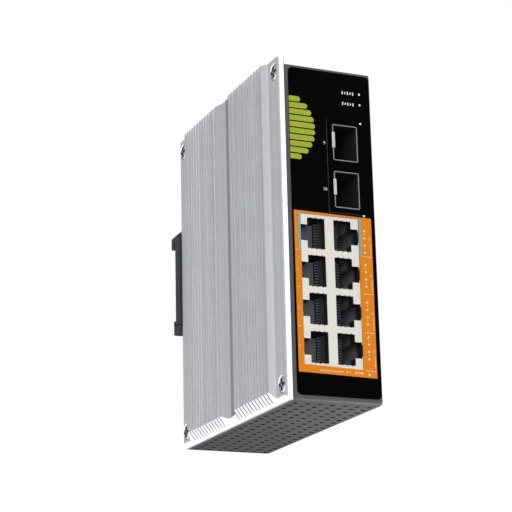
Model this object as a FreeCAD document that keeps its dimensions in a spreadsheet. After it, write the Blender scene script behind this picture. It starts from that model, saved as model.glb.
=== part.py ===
import FreeCAD, Part
import math
import os
import re
import sys

import Sketcher

# Rail-mounted network switch: a folded steel case with eight sockets and two module cages in
# its front, and a finned aluminium plate as its left wall.
# Case frame: X to the right from the joint between plate and case, Y to the back from the
# front face, Z up from the underside. Each finished piece is then moved to the part frame,
# whose origin is the middle of the underside of the whole part.
# Every length is in millimetres.

V = FreeCAD.Vector
doc = FreeCAD.newDocument("network_switch")
sizes = doc.addObject("Spreadsheet::Sheet", "sizes")

# Driving sizes: alias, value, what it is
DRIVING_SIZES = (
    ("case_width", 34.5, "folded case across X"),
    ("case_depth", 101.0, "folded case across Y"),
    ("case_height", 125.6, "folded case across Z"),
    ("sheet", 1.0, "steel sheet thickness"),
    ("bend", 1.5, "outer radius of a bend"),
    ("bend_inner", 0.5, "inner radius of a bend"),
    ("fit", 0.05, "clearance where pieces slide together"),
    ("gap", 0.15, "clearance round what passes through a window"),
    ("ear_length", 10.0, "folded ear along Y"),
    ("ear_height", 10.0, "folded ear across Z"),
    ("ear_inset", 1.5, "ear from the front and back of the case"),
    ("plate_height", 128.0, "finned plate across Z"),
    ("plate_base", 2.8, "finned plate at its screw bands"),
    ("plate_rise", 1.6, "fin tips above the screw bands"),
    ("plate_round", 2.2, "rounded front and back corners of the plate"),
    ("plate_break", 0.3, "broken inner edge along the front face"),
    ("band_width", 9.0, "flat screw band along each end of the plate"),
    ("band_slope", 2.4, "slope from the screw band up to the fin tips"),
    ("bevel_height", 4.4, "bevel under the fins, across Z"),
    ("bevel_land", 1.1, "flat that the bevel leaves under the plate"),
    ("fin_pitch", 2.75, "fin to fin"),
    ("fin_groove", 1.3, "groove between two fins at its mouth"),
    ("fin_root", 0.8, "groove between two fins at its floor"),
    ("fin_depth", 2.0, "groove depth"),
    ("fin_count", 12, "grooves in each band of fins"),
    ("front_fins", 13.0, "first groove of the front band"),
    ("back_fins", 57.3, "first groove of the back band"),
    ("valley_start", 43.25, "wide recess between the bands of fins"),
    ("valley_width", 12.65, "wide recess along Y"),
    ("screw_inset", 6.0, "cover screws from the case edges"),
    ("plate_screw_inset", 4.4, "plate screws from the ends of the case"),
    ("plate_screw_foot", 6.0, "lower plate screws above the underside"),
    ("plate_screw_drop", 2.6, "upper plate screws below the top"),
    ("screw_shank", 1.5, "screw thread radius"),
    ("screw_head", 2.8, "screw head radius"),
    ("screw_sink", 1.4, "sunk head depth"),
    ("screw_length", 4.6, "plate screw with its head"),
    ("cover_screw_length", 3.0, "cover screw with its head"),
    ("recess_width", 0.9, "cross recess arm"),
    ("recess_length", 3.6, "cross recess across"),
    ("recess_depth", 0.9, "cross recess depth"),
    ("vent_radius", 1.12, "vent hole, centre to corner"),
    ("vent_pitch_x", 4.85, "vent columns"),
    ("vent_pitch_y", 4.9, "vent rows"),
    ("vent_inset_x", 2.9, "first column of vents from the plate"),
    ("vent_inset_y", 5.6, "first row of vents from the front"),
    ("vent_columns", 7, "columns of vents"),
    ("vent_rows", 20, "rows of vents underneath"),
    ("slot_rows", 8, "rows of vent slots on the top"),
    ("slot_long", 11.5, "vent slot across X"),
    ("slot_wide", 2.0, "vent slot along Y"),
    ("slot_start", 4.0, "first vent slot from the plate"),
    ("slot_step", 14.0, "vent slot to vent slot across X"),
    ("film", 0.25, "front film thickness"),
    ("film_side", 1.3, "front film from the left edge"),
    ("film_right", 0.25, "front film from the right edge"),
    ("film_top", 1.4, "front film from the top"),
    ("film_foot", 1.9, "front film from the bottom"),
    ("film_round", 1.8, "front film corner radius"),
    ("film_lap", 0.45, "film over the rim of the socket block"),
    ("board_gap", 2.4, "plate to the main board"),
    ("board", 1.6, "circuit board thickness"),
    ("board_front", 2.0, "main board behind the front face"),
    ("board_back", 93.0, "back edge of the main board"),
    ("board_foot", 6.0, "bottom edge of the main board"),
    ("board_top", 120.0, "top edge of the main board"),
    ("board_notch", 12.5, "corner cut of the main board"),
    ("port_pitch", 13.97, "socket to socket"),
    ("port_rows", 4, "rows of sockets"),
    ("port_foot", 19.3, "centre of the lowest row"),
    ("port_tall", 11.7, "socket opening across Z"),
    ("port_wide", 6.95, "socket opening across X"),
    ("port_left", 7.2, "left sockets from the plate"),
    ("port_right", 17.65, "right sockets from the plate"),
    ("port_deep", 21.0, "socket depth"),
    ("latch_tall", 6.0, "latch notch of a socket across Z"),
    ("latch_wide", 2.7, "latch notch of a socket across X"),
    ("jack_wide", 24.5, "socket block across X"),
    ("jack_deep", 34.0, "socket block across Y"),
    ("jack_end", 0.55, "block beyond the outer rows' half pitch"),
    ("can", 0.3, "shield sheet"),
    ("contact_pitch", 1.02, "contact wire spacing"),
    ("contact_count", 8, "contact wires in a socket"),
    ("contact_wire", 0.35, "contact wire thickness"),
    ("contact_reach", 1.5, "contact wire off its wall"),
    ("contact_front", 6.0, "contact wires behind the front"),
    ("contact_run", 9.0, "contact wire along Y"),
    ("cage_wide", 10.0, "module cage across X"),
    ("cage_tall", 13.9, "module cage across Z"),
    ("cage_deep", 48.0, "module cage behind the front"),
    ("cage_proud", 0.6, "module cage before the front"),
    ("cage_wall", 0.35, "cage sheet"),
    ("cage_foot", 71.75, "underside of the lower cage"),
    ("cage_pitch", 18.1, "cage to cage"),
    ("cage_bottom", 18.4, "cage floor from the plate"),
    ("tongue_wide", 5.9, "cage latch tongue"),
    ("module_board_front", 5.0, "front edge of the module board"),
    ("module_board_back", 62.0, "back edge of the module board"),
    ("module_board_foot", 68.95, "bottom edge of the module board"),
    ("module_board_top", 111.4, "top edge of the module board"),
    ("post", 2.75, "hexagonal post, centre to corner"),
    ("inner_head", 2.6, "board screw head radius"),
    ("inner_head_height", 1.8, "board screw head height"),
    ("pipe", 1.4, "light pipe section"),
    ("pipe_line", 29.9, "light pipe column from the plate"),
    ("pipe_pitch", 2.7, "light pipe spacing in a row"),
    ("end_lights_in", 1.2, "end rows of lights nearer the middle than their sockets"),
    ("lights_drop", 0.2, "all rows of lights below the socket rows"),
    ("pipe_back", 36.6, "back of the long light pipes"),
    ("short_pipe_back", 8.0, "back of the short light pipes"),
    ("diode", 0.8, "light diode height"),
    ("seat_gap", 0.2, "light pipe above its diode"),
    ("terminal_start", 52.0, "terminal housing from the front"),
    ("terminal_pitch", 5.08, "terminal pin spacing"),
    ("terminal_count", 6, "terminal pins"),
    ("terminal_wide", 12.6, "terminal housing across X"),
    ("terminal_wall", 1.2, "terminal housing wall"),
    ("terminal_foot", 112.0, "underside of the terminal housing"),
    ("terminal_proud", 1.2, "terminal housing above the case"),
    ("terminal_deep", 9.5, "terminal socket depth"),
    ("ground_x", 26.5, "ground screw from the plate"),
    ("ground_y", 91.0, "ground screw from the front"),
    ("ground_shank", 2.0, "ground screw thread radius"),
    ("ground_head", 3.8, "ground screw head radius"),
    ("ground_head_height", 2.4, "ground screw head height"),
    ("ground_length", 6.0, "ground screw thread under the head"),
    ("washer", 0.8, "ground washer thickness"),
    ("washer_radius", 4.4, "ground washer radius"),
    ("rail_height", 35.0, "mounting rail"),
    ("rail_middle", 68.5, "middle of the rail above the underside"),
    ("rail_lip", 1.3, "slot for the lip of the rail"),
    ("rail_play", 0.3, "hook above the edge of the rail"),
    ("hook_lap", 2.4, "hook over the lip of the rail"),
    ("hook_height", 4.2, "upper hook above the rail"),
    ("hook_lip", 2.8, "hook lip along Y"),
    ("bracket_base", 3.2, "bracket base along Y"),
    ("bracket_wide", 37.0, "bracket across X"),
    ("bracket_chamfer", 2.0, "bracket corners"),
    ("channel_deep", 1.8, "latch channel in the bracket"),
    ("channel_wide", 15.0, "latch channel across X"),
    ("channel_above", 12.0, "top of the latch channel above the rail's middle"),
    ("latch_thick", 1.5, "latch tongue thickness"),
    ("latch_side", 2.2, "latch tongue side bars"),
    ("latch_bar", 3.0, "latch tongue top bar"),
    ("latch_top", 10.0, "top of the latch above the rail's middle"),
    ("latch_foot", 3.2, "latch foot across Z"),
    ("latch_foot_wide", 36.6, "latch foot across X"),
    ("latch_nose", 1.4, "latch nose along Y"),
    ("latch_grip", 2.2, "latch nose over the lip of the rail"),
    ("latch_travel", 3.6, "latch pulled down"),
    ("spring_peg", 3.0, "fixed peg under the spring"),
    ("spring_foot", -8.0, "foot of the spring above the rail's middle"),
    ("spring_wide", 6.0, "serpentine spring across X"),
    ("spring_wire", 0.5, "serpentine spring section"),
    ("spring_turns", 8, "turns of the serpentine spring"),
    ("spring_thick", 0.9, "serpentine spring along Y"),
    ("bracket_screw_x", 10.5, "bracket screws from the middle"),
    ("bracket_screw_up", 9.0, "upper bracket screws above the rail's middle"),
    ("bracket_screw_down", 11.0, "lower bracket screws under the rail's middle"),
    ("bracket_screw_length", 6.2, "bracket screw with its head"),
    ("nut_radius", 3.0, "clinch nut radius"),
    ("nut_height", 2.0, "clinch nut inside the back wall"),
)

for row, (alias, value, meaning) in enumerate(DRIVING_SIZES, start=1):
    sizes.set(f"A{row}", alias)
    sizes.set(f"B{row}", str(value))
    sizes.set(f"C{row}", meaning)
    sizes.setAlias(f"B{row}", alias)
doc.recompute()

ALIASES = {alias for alias, value, meaning in DRIVING_SIZES}


def size(alias):
    """Value of one driving size."""
    return float(sizes.get(alias))


def count(alias):
    """Value of one driving count."""
    return int(round(size(alias)))


def formula(text):
    """Expression in which each alias points at its cell."""
    def to_cell(match):
        word = match.group()
        return "sizes." + word if word in ALIASES else word
    return re.sub(r"[A-Za-z_]\w*", to_cell, str(text))


# Formulas that several pieces share
PLATE_THICK = "(plate_base + plate_rise)"
BOARD_FACE = "(board_gap + board)"
JACK_LEFT = BOARD_FACE
JACK_RIGHT = f"({BOARD_FACE} + jack_wide)"
JACK_FOOT = "(port_foot - port_pitch / 2 - jack_end)"
JACK_TOP = "(port_foot + (port_rows - 0.5) * port_pitch + jack_end)"
SEAT = "(case_depth + bracket_base)"
HOOK_BACK = f"({SEAT} + rail_lip + hook_lip)"
NOSE_BACK = f"({SEAT} + rail_lip + latch_nose)"
MIDDLE_X = f"((case_width - {PLATE_THICK}) / 2)"
MIDDLE_Y = f"(({HOOK_BACK} - cage_proud) / 2)"
RAIL_TOP = "(rail_middle + rail_height / 2)"
RAIL_FOOT = "(rail_middle - rail_height / 2)"
LATCH_FOOT_TOP = f"({RAIL_FOOT} - rail_play)"
LATCH_FOOT_LOW = f"({LATCH_FOOT_TOP} - latch_foot)"
TERMINAL_END = "(terminal_start + terminal_count * terminal_pitch + 2 * terminal_wall)"
MODULE_FACE = "cage_bottom"
MODULE_BACK = "(cage_bottom - board)"


# Sides of the polygons that stand in for small round holes and shanks
ROUND_SIDES = 12
HEAD_SIDES = 16
POST_SIDES = 6
VENT_SIDES = 6


# Part primitives and booleans

def box(name, x, y, z):
    """Block between two formulas along each axis."""
    solid = doc.addObject("Part::Box", name)
    for side, axis, (low, high) in (("Length", "x", x), ("Width", "y", y), ("Height", "z", z)):
        solid.setExpression(side, formula(f"({high}) - ({low})"))
        solid.setExpression(f"Placement.Base.{axis}", formula(low))
    return solid


TURNS = {
    "x": FreeCAD.Rotation(V(0, 1, 0), 90),
    "y": FreeCAD.Rotation(V(1, 0, 0), -90),
    "z": FreeCAD.Rotation(),
}


def stand(solid, along, at):
    """Turn a solid of revolution to an axis and put its start at three formulas."""
    solid.Placement = FreeCAD.Placement(V(0, 0, 0), TURNS[along])
    for axis, text in zip("xyz", at):
        solid.setExpression(f"Placement.Base.{axis}", formula(text))
    return solid


def prism(name, along, sides, radius, length, at):
    """Many-sided bar from a point along an axis."""
    solid = doc.addObject("Part::Prism", name)
    solid.Polygon = sides
    solid.setExpression("Circumradius", formula(radius))
    solid.setExpression("Height", formula(length))
    return stand(solid, along, at)


def shift(at, axis, step):
    """Point moved along an axis by a formula with its sign."""
    return [f"{text} {step}" if name == axis else text for name, text in zip("xyz", at)]


def fuse(name, pieces):
    """One solid from several."""
    joined = doc.addObject("Part::MultiFuse", name)
    joined.Shapes = pieces
    joined.Refine = True
    return joined


def group(name, pieces):
    """Separate solids kept in one node."""
    kept = doc.addObject("Part::Compound", name)
    kept.Links = pieces
    return kept


def cut(name, base, tools):
    """Base without its tools."""
    tool = tools[0] if len(tools) == 1 else fuse(name + "_tools", tools)
    rest = doc.addObject("Part::Cut", name)
    rest.Base = base
    rest.Tool = tool
    return rest


# Part design bodies

def new_body(name):
    """Empty body."""
    return doc.addObject("PartDesign::Body", name)


def origin_plane(body, role):
    """One of a body's own origin planes."""
    return next(item for item in body.Origin.OriginFeatures if item.Role == role)


def new_sketch(body, name, plane, offset="0"):
    """Empty sketch on an origin plane, moved along its normal by a formula."""
    sketch = body.newObject("Sketcher::SketchObject", name)
    sketch.AttachmentSupport = [(origin_plane(body, plane + "_Plane"), "")]
    sketch.MapMode = "FlatFace"
    sketch.setExpression("AttachmentOffset.Base.z", formula(offset))
    return sketch


def drive(sketch, kind, first, second, text):
    """Dimension from the sketch's origin, bound to a formula."""
    evaluated = sketch.evalExpression(formula(text))
    value = float(getattr(evaluated, "Value", evaluated))
    index = sketch.addConstraint(Sketcher.Constraint(kind, -1, 1, first, second, value))
    sketch.setExpression(f"Constraints[{index}]", formula(text))
    return value


def outline(sketch, corners):
    """Closed polygon whose corners are bound to formulas."""
    points = []
    for corner in corners:
        values = [sketch.evalExpression(formula(text)) for text in corner]
        points.append(V(*[float(getattr(value, "Value", value)) for value in values], 0))
    total = len(points)
    lines = [Part.LineSegment(points[i], points[(i + 1) % total]) for i in range(total)]
    first = sketch.addGeometry(lines, False)[0]
    for i in range(total):
        following = first + (i + 1) % total
        sketch.addConstraint(Sketcher.Constraint("Coincident", first + i, 2, following, 1))
    for i, (across, up) in enumerate(corners):
        drive(sketch, "DistanceX", first + i, 1, across)
        drive(sketch, "DistanceY", first + i, 1, up)


def rectangle(sketch, across, up):
    """Rectangle between two formulas each way."""
    (left, right), (low, high) = across, up
    outline(sketch, [(left, low), (right, low), (right, high), (left, high)])


def ring(sketch, radius, across, up, sides=ROUND_SIDES):
    """Regular polygon that stands in for a round hole, bound to a radius and a centre."""
    corners = []
    for k in range(sides):
        turn = 2 * math.pi * k / sides
        corners.append((f"{across} + ({radius}) * {math.cos(turn):.6f}",
                        f"{up} + ({radius}) * {math.sin(turn):.6f}"))
    outline(sketch, corners)


def pad(body, sketch, length, reverse=False):
    """Extrude a sketch."""
    feature = body.newObject("PartDesign::Pad", sketch.Name + "_pad")
    feature.Profile = sketch
    feature.setExpression("Length", formula(length))
    feature.Reversed = reverse
    return feature


def pocket(body, sketch, depth, reverse=False):
    """Cut a sketch to a depth and check that it removes material."""
    doc.recompute()
    before = body.Shape.Volume
    feature = body.newObject("PartDesign::Pocket", sketch.Name + "_pocket")
    feature.Profile = sketch
    feature.setExpression("Length", formula(depth))
    feature.Reversed = reverse
    doc.recompute()
    if body.Shape.Volume >= before:
        raise RuntimeError(f"{feature.Name} cuts nothing")
    return feature


def row_pattern(body, features, sketch, axis, pitch, number):
    """Repeat features along an axis of a sketch."""
    feature = body.newObject("PartDesign::LinearPattern", features[0].Name + "_row")
    feature.Originals = features
    feature.Direction = (sketch, [axis])
    feature.setExpression("Length", formula(f"({pitch}) * ({number} - 1)"))
    feature.setExpression("Occurrences", formula(number))
    body.Tip = feature
    return feature


def edges_where(shape, along, test):
    """Names of the edges that run along an axis and whose ends both pass a test."""
    direction = V(*[float(axis == along) for axis in "xyz"])
    names = []
    for i, edge in enumerate(shape.Edges, start=1):
        ends = [vertex.Point for vertex in edge.Vertexes]
        if len(ends) != 2 or not all(test(end) for end in ends):
            continue
        if (ends[1] - ends[0]).cross(direction).Length < 1e-4:
            names.append(f"Edge{i}")
    return names


def near(value, target):
    """Whether two lengths agree."""
    return abs(value - target) < 1e-4


def round_edges(body, name, along, test, radius):
    """Fillet the edges along an axis that pass a test."""
    doc.recompute()
    base = body.Tip
    found = edges_where(base.Shape, along, test)
    feature = body.newObject("PartDesign::Fillet", name)
    feature.Base = (base, found)
    feature.setExpression("Radius", formula(radius))
    doc.recompute()
    return feature


def break_edges(body, name, along, test, length):
    """Chamfer the edges along an axis that pass a test."""
    doc.recompute()
    base = body.Tip
    found = edges_where(base.Shape, along, test)
    feature = body.newObject("PartDesign::Chamfer", name)
    feature.Base = (base, found)
    feature.setExpression("Size", formula(length))
    doc.recompute()
    return feature


# Places of the fasteners in the case frame

def plate_screws():
    """Formulas of Y and Z for the four screws of the finned plate."""
    return [(y, z) for y in ("plate_screw_inset", "case_depth - plate_screw_inset")
            for z in ("plate_screw_foot", "case_height - plate_screw_drop")]


def cover_screws():
    """Formulas of Y and Z for the four screws of the right wall."""
    return [(y, z) for y in ("screw_inset", "case_depth - screw_inset")
            for z in ("screw_inset", "case_height - screw_inset")]


def bracket_screws():
    """Formulas of X and Z for the bracket's screws."""
    return [(f"{MIDDLE_X} {side} bracket_screw_x", f"rail_middle {level}")
            for side in "-+" for level in ("- bracket_screw_down", "+ bracket_screw_up")]


def main_board_posts():
    """Formulas of Y and Z for the posts under the main board."""
    return [("43", "115"), ("89.3", "108"), ("89.3", "14"), ("52", "12")]


def module_board_posts():
    """Formulas of Y and Z for the posts under the module board."""
    high = "module_board_top - post - 0.8"
    return [("12.5", high), ("module_board_back - 4", high),
            ("module_board_back - 4", "module_board_foot + 5")]


def port_centres():
    """Formulas of Z for the rows of sockets."""
    return [f"port_foot + {row} * port_pitch" for row in range(count("port_rows"))]


def cage_feet():
    """Formulas of Z for the underside of each cage."""
    return {"lower": "cage_foot", "upper": "(cage_foot + cage_pitch)"}


def port_pipe_levels():
    """Formulas of Z for the light pipes beside the sockets."""
    inwards = (1, 0, 0, -1)
    return [f"{centre} - lights_drop + {inward} * end_lights_in + {step} * pipe_pitch"
            for centre, inward in zip(port_centres(), inwards)
            for step in (-1.5, -0.5, 0.5, 1.5)]


def status_pipe_levels():
    """Formulas of Z for the single light pipes and the board face each one ends on."""
    above_cages = "cage_foot + cage_pitch + cage_tall"
    return [("case_height - 8.7", BOARD_FACE), ("case_height - 12.9", BOARD_FACE),
            (f"{above_cages} + 1.55", MODULE_FACE), ("cage_foot - 2.1", MODULE_FACE),
            (f"{JACK_FOOT} - 1.2", BOARD_FACE)]


# Folded case

def make_front_wrap():
    """Front, top and underside, folded from one sheet, with ears for the side walls."""
    body = new_body("front_wrap")
    folded = new_sketch(body, "wrap_profile", "YZ")
    outline(folded, [
        ("case_depth", "0"), ("0", "0"), ("0", "case_height"), ("case_depth", "case_height"),
        ("case_depth", "case_height - sheet"), ("sheet", "case_height - sheet"),
        ("sheet", "sheet"), ("case_depth", "sheet")])
    pad(body, folded, "case_width")
    high, thick = size("case_height"), size("sheet")
    round_edges(body, "wrap_bends", "x",
                lambda p: near(p.y, 0) and (near(p.z, 0) or near(p.z, high)), "bend")
    round_edges(body, "wrap_inner_bends", "x",
                lambda p: near(p.y, thick) and (near(p.z, thick) or near(p.z, high - thick)),
                "bend_inner")

    # The right wall of the cover stands beside the flanges and behind the front
    beside = new_sketch(body, "cover_seat", "XY")
    rectangle(beside, ("case_width - sheet", "case_width + 1"), ("bend", "case_depth + 1"))
    pocket(body, beside, "case_height", reverse=True)

    add_ears(body, "plate_ears", "0", plate_screws())
    add_ears(body, "cover_ears", "case_width - 2 * sheet", cover_screws())

    windows = new_sketch(body, "front_windows", "XZ")
    rectangle(windows, (f"{JACK_LEFT} - gap", f"{JACK_RIGHT} + gap"),
              (f"{JACK_FOOT} - gap", f"{JACK_TOP} + gap"))
    for foot in cage_feet().values():
        rectangle(windows, ("cage_bottom - gap", "cage_bottom + cage_wide + gap"),
                  (f"{foot} - gap", f"{foot} + cage_tall + gap"))
    levels = port_pipe_levels() + [level for level, face in status_pipe_levels()]
    for level in levels:
        rectangle(windows, ("pipe_line - pipe / 2 - gap", "pipe_line + pipe / 2 + gap"),
                  (f"{level} - pipe / 2 - gap", f"{level} + pipe / 2 + gap"))
    pocket(body, windows, "sheet")

    top = new_sketch(body, "top_windows", "XY", "case_height - sheet")
    rectangle(top, (f"{BOARD_FACE} - gap", f"{BOARD_FACE} + terminal_wide + gap"),
              ("terminal_start - gap", f"{TERMINAL_END} + gap"))
    ring(top, "ground_shank", "ground_x", "ground_y")
    for row in range(count("slot_rows")):
        near_edge = f"vent_inset_y + {row} * vent_pitch_y"
        for start in ("slot_start", "slot_start + slot_step"):
            rectangle(top, (start, f"{start} + slot_long"),
                      (near_edge, f"{near_edge} + slot_wide"))
    pocket(body, top, "sheet", reverse=True)
    return punched("front_wrap_vented", body, vent_punches("bottom_vent", "0"))


def add_ears(body, name, start, screws):
    """Four folded ears with a threaded hole for each screw, standing on the flanges."""
    ears = new_sketch(body, name, "YZ", start)
    holes = new_sketch(body, name + "_holes", "YZ", start)
    sides = (("ear_inset", "ear_inset + ear_length"),
             ("case_depth - sheet - ear_inset - ear_length", "case_depth - sheet - ear_inset"))
    levels = (("sheet / 2", "sheet + ear_height"),
              ("case_height - sheet - ear_height", "case_height - sheet / 2"))
    for along in sides:
        for up in levels:
            rectangle(ears, along, up)
    pad(body, ears, "sheet")
    for y, z in screws:
        ring(holes, "screw_shank - 0.1", y, z)
    pocket(body, holes, "sheet", reverse=True)


def vent_punches(name, level):
    """Punches on a square grid over a flange."""
    punches = []
    for row in range(count("vent_rows")):
        for column in range(count("vent_columns")):
            at = (f"vent_inset_x + {column} * vent_pitch_x",
                  f"vent_inset_y + {row} * vent_pitch_y", level)
            punches.append(prism(f"{name}_{row}_{column}", "z", VENT_SIDES, "vent_radius",
                                 "sheet", at))
    return punches


def punched(name, base, punches):
    """Base without a set of punches that stand apart from each other."""
    rest = doc.addObject("Part::Cut", name)
    rest.Base = base
    rest.Tool = group(name + "_punches", punches)
    return rest


def make_rear_cover():
    """Right wall and back, folded from one sheet."""
    body = new_body("rear_cover")
    folded = new_sketch(body, "cover_profile", "XY")
    outline(folded, [
        ("case_width - sheet", "bend"), ("case_width", "bend"), ("case_width", "case_depth"),
        ("0", "case_depth"), ("0", "case_depth - sheet"),
        ("case_width - sheet", "case_depth - sheet")])
    pad(body, folded, "case_height")
    wide, deep, thick = size("case_width"), size("case_depth"), size("sheet")
    round_edges(body, "cover_bend", "z",
                lambda p: near(p.x, wide) and near(p.y, deep), "bend")
    round_edges(body, "cover_inner_bend", "z",
                lambda p: near(p.x, wide - thick) and near(p.y, deep - thick), "bend_inner")

    # The back stands between the flanges of the wrap
    steps = new_sketch(body, "flange_seats", "XZ", "-case_depth - 1")
    inner = "case_width - sheet - bend_inner"
    rectangle(steps, ("-1", inner), ("-1", "sheet + fit"))
    rectangle(steps, ("-1", inner), ("case_height - sheet - fit", "case_height + 1"))
    pocket(body, steps, "bend + 2", reverse=True)

    holes = new_sketch(body, "nut_holes", "XZ", "-case_depth")
    for x, z in bracket_screws():
        ring(holes, "screw_shank + fit", x, z)
    pocket(body, holes, "sheet", reverse=True)

    side = new_sketch(body, "side_holes", "YZ", "case_width - sheet")
    for y, z in cover_screws():
        ring(side, "screw_head", y, z, HEAD_SIDES)
    pocket(body, side, "sheet", reverse=True)
    return body


# Finned plate

def make_heat_sink_plate():
    """Left wall: an extruded plate with two bands of fins and sunk corner holes."""
    body = new_body("heat_sink_plate")
    section = new_sketch(body, "plate_profile", "XY")
    outline(section, [
        ("0", "0"), ("-plate_base", "0"), ("-plate_base", "band_width"),
        (f"-{PLATE_THICK}", "band_width + band_slope"),
        (f"-{PLATE_THICK}", "case_depth - band_width - band_slope"),
        ("-plate_base", "case_depth - band_width"), ("-plate_base", "case_depth"),
        ("0", "case_depth")])
    pad(body, section, "plate_height")
    base, deep = size("plate_base"), size("case_depth")
    round_edges(body, "plate_corners", "z",
                lambda p: near(p.x, -base) and (near(p.y, 0) or near(p.y, deep)), "plate_round")
    break_edges(body, "plate_front_edge", "z",
                lambda p: near(p.x, 0) and near(p.y, 0), "plate_break")

    bevel = new_sketch(body, "plate_bevel", "XZ", "1")
    outline(bevel, [("-bevel_land", "0"), (f"-{PLATE_THICK}", "bevel_height"),
                    (f"-{PLATE_THICK} - 1", "bevel_height"), (f"-{PLATE_THICK} - 1", "-1"),
                    ("-bevel_land", "-1")])
    pocket(body, bevel, "case_depth + 2")

    valley = new_sketch(body, "plate_valley", "XY", "-1")
    rectangle(valley, (f"-{PLATE_THICK} - 1", "-plate_base"),
              ("valley_start", "valley_start + valley_width"))
    pocket(body, valley, "plate_height + 2", reverse=True)

    grooves = new_sketch(body, "plate_grooves", "XY", "-1")
    for start in ("front_fins", "back_fins"):
        add_groove(grooves, start)
    first = pocket(body, grooves, "plate_height + 2", reverse=True)
    row_pattern(body, [first], grooves, "V_Axis", "fin_pitch", "fin_count")

    holes = new_sketch(body, "plate_holes", "YZ", "-plate_base")
    for y, z in plate_screws():
        ring(holes, "screw_shank + gap", y, z)
    pocket(body, holes, "plate_base", reverse=True)
    return punched("heat_sink_plate_sunk", body, [
        prism(f"plate_sink_{i}", "x", HEAD_SIDES, "screw_head + gap", "screw_sink",
              ("-plate_base", y, z)) for i, (y, z) in enumerate(plate_screws())])


def add_groove(sketch, start):
    """Section of one groove that opens at the fin tips."""
    middle, end = f"{start} + fin_groove / 2", f"{start} + fin_groove"
    outline(sketch, [
        (f"-{PLATE_THICK} - 1", start), (f"-{PLATE_THICK}", start),
        (f"-{PLATE_THICK} + fin_depth", f"{middle} - fin_root / 2"),
        (f"-{PLATE_THICK} + fin_depth", f"{middle} + fin_root / 2"),
        (f"-{PLATE_THICK}", end), (f"-{PLATE_THICK} - 1", end)])


# Screws

def cross_recess(name, along, at):
    """Two crossing bars that cut a driver recess, from a head's face along its axis."""
    half_width, half_length = "recess_width / 2", "recess_length / 2"
    bars = []
    for i, (first, second) in enumerate(((half_width, half_length), (half_length, half_width))):
        spans = []
        spread = iter((first, second))
        for axis, text in zip("xyz", at):
            if axis == along[-1]:
                ends = (text, f"{text} + recess_depth")
                spans.append(ends if along[0] == "+" else (f"{text} - recess_depth", text))
            else:
                reach = next(spread)
                spans.append((f"{text} - {reach}", f"{text} + {reach}"))
        bars.append(box(f"{name}_bar_{i}", *spans))
    return bars


def flat_screw(name, along, head, thick, shank, length, at):
    """Flat-headed screw with a cross recess, from the middle of its head's face along an axis."""
    sign, axis = along
    head_start, shank_start = at, shift(at, axis, f"+ {thick}")
    if sign == "-":
        head_start, shank_start = shift(at, axis, f"- {thick}"), shift(at, axis, f"- {length}")
    blank = fuse(name + "_blank", [
        prism(name + "_head", axis, HEAD_SIDES, head, thick, head_start),
        prism(name + "_shank", axis, ROUND_SIDES, shank, f"{length} - {thick}", shank_start)])
    return cut(name, blank, cross_recess(name, along, at))


def make_plate_screws():
    """Four screws, sunk in the finned plate, that hold it to the ears."""
    return group("plate_screws", [
        flat_screw(f"plate_screw_{i}", "+x", "screw_head", "screw_sink", "screw_shank",
                   "screw_length", ("-plate_base", y, z))
        for i, (y, z) in enumerate(plate_screws())])


def make_cover_screws():
    """Four screws that hold the cover to the ears."""
    return group("cover_screws", [
        flat_screw(f"cover_screw_{i}", "-x", "screw_head - fit", "sheet", "screw_shank - 0.1",
                   "cover_screw_length", ("case_width", y, z))
        for i, (y, z) in enumerate(cover_screws())])


def make_bracket_screws():
    """Four screws through the bracket into the clinch nuts of the back."""
    return group("bracket_screws", [
        flat_screw(f"bracket_screw_{i}", "-y", "screw_head", "screw_sink", "screw_shank",
                   "bracket_screw_length", (x, SEAT, z))
        for i, (x, z) in enumerate(bracket_screws())])


def make_clinch_nuts():
    """Round nuts pressed into the back from inside."""
    nuts = []
    for i, (x, z) in enumerate(bracket_screws()):
        at = (x, "case_depth - sheet - nut_height", z)
        nuts.append(cut(
            f"nut_{i}", prism(f"nut_{i}_body", "y", ROUND_SIDES, "nut_radius", "nut_height", at),
            [prism(f"nut_{i}_bore", "y", ROUND_SIDES, "screw_shank", "nut_height", at)]))
    return group("clinch_nuts", nuts)


# Front film

def make_front_overlay():
    """Printed film over the front, open at the sockets and the cages."""
    body = new_body("front_overlay")
    film = new_sketch(body, "film_outline", "XZ")
    rectangle(film, ("film_side", "case_width - film_right"),
              ("film_foot", "case_height - film_top"))
    pad(body, film, "film")
    left, right = size("film_side"), size("case_width") - size("film_right")
    round_edges(body, "film_corners", "y",
                lambda p: near(p.x, left) or near(p.x, right), "film_round")
    openings = new_sketch(body, "film_openings", "XZ", "film")
    rectangle(openings, (f"{JACK_LEFT} + film_lap", f"{JACK_RIGHT} - film_lap"),
              (f"{JACK_FOOT} + film_lap", f"{JACK_TOP} - film_lap"))
    for foot in cage_feet().values():
        rectangle(openings, ("cage_bottom - gap", "cage_bottom + cage_wide + gap"),
                  (f"{foot} - gap", f"{foot} + cage_tall + gap"))
    pocket(body, openings, "film")
    return body


# Boards and what stands on them

def make_main_board():
    """Board beside the plate, with its corners cut away for the ears and drilled for its posts."""
    blank = box("main_board_blank", ("board_gap", BOARD_FACE), ("board_front", "board_back"),
                ("board_foot", "board_top"))
    holes = [prism(f"main_board_hole_{i}", "x", ROUND_SIDES, "screw_shank + gap", "board",
                   ("board_gap", y, z)) for i, (y, z) in enumerate(main_board_posts())]
    return cut("main_board", blank, holes)


def make_module_board():
    """Board that carries the two cages."""
    blank = box("sfp_board_blank", (MODULE_BACK, MODULE_FACE),
                ("module_board_front", "module_board_back"),
                ("module_board_foot", "module_board_top"))
    holes = [prism(f"sfp_board_hole_{i}", "x", ROUND_SIDES, "screw_shank + gap", "board",
                   (MODULE_BACK, y, z)) for i, (y, z) in enumerate(module_board_posts())]
    return cut("sfp_board", blank, holes)


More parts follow.
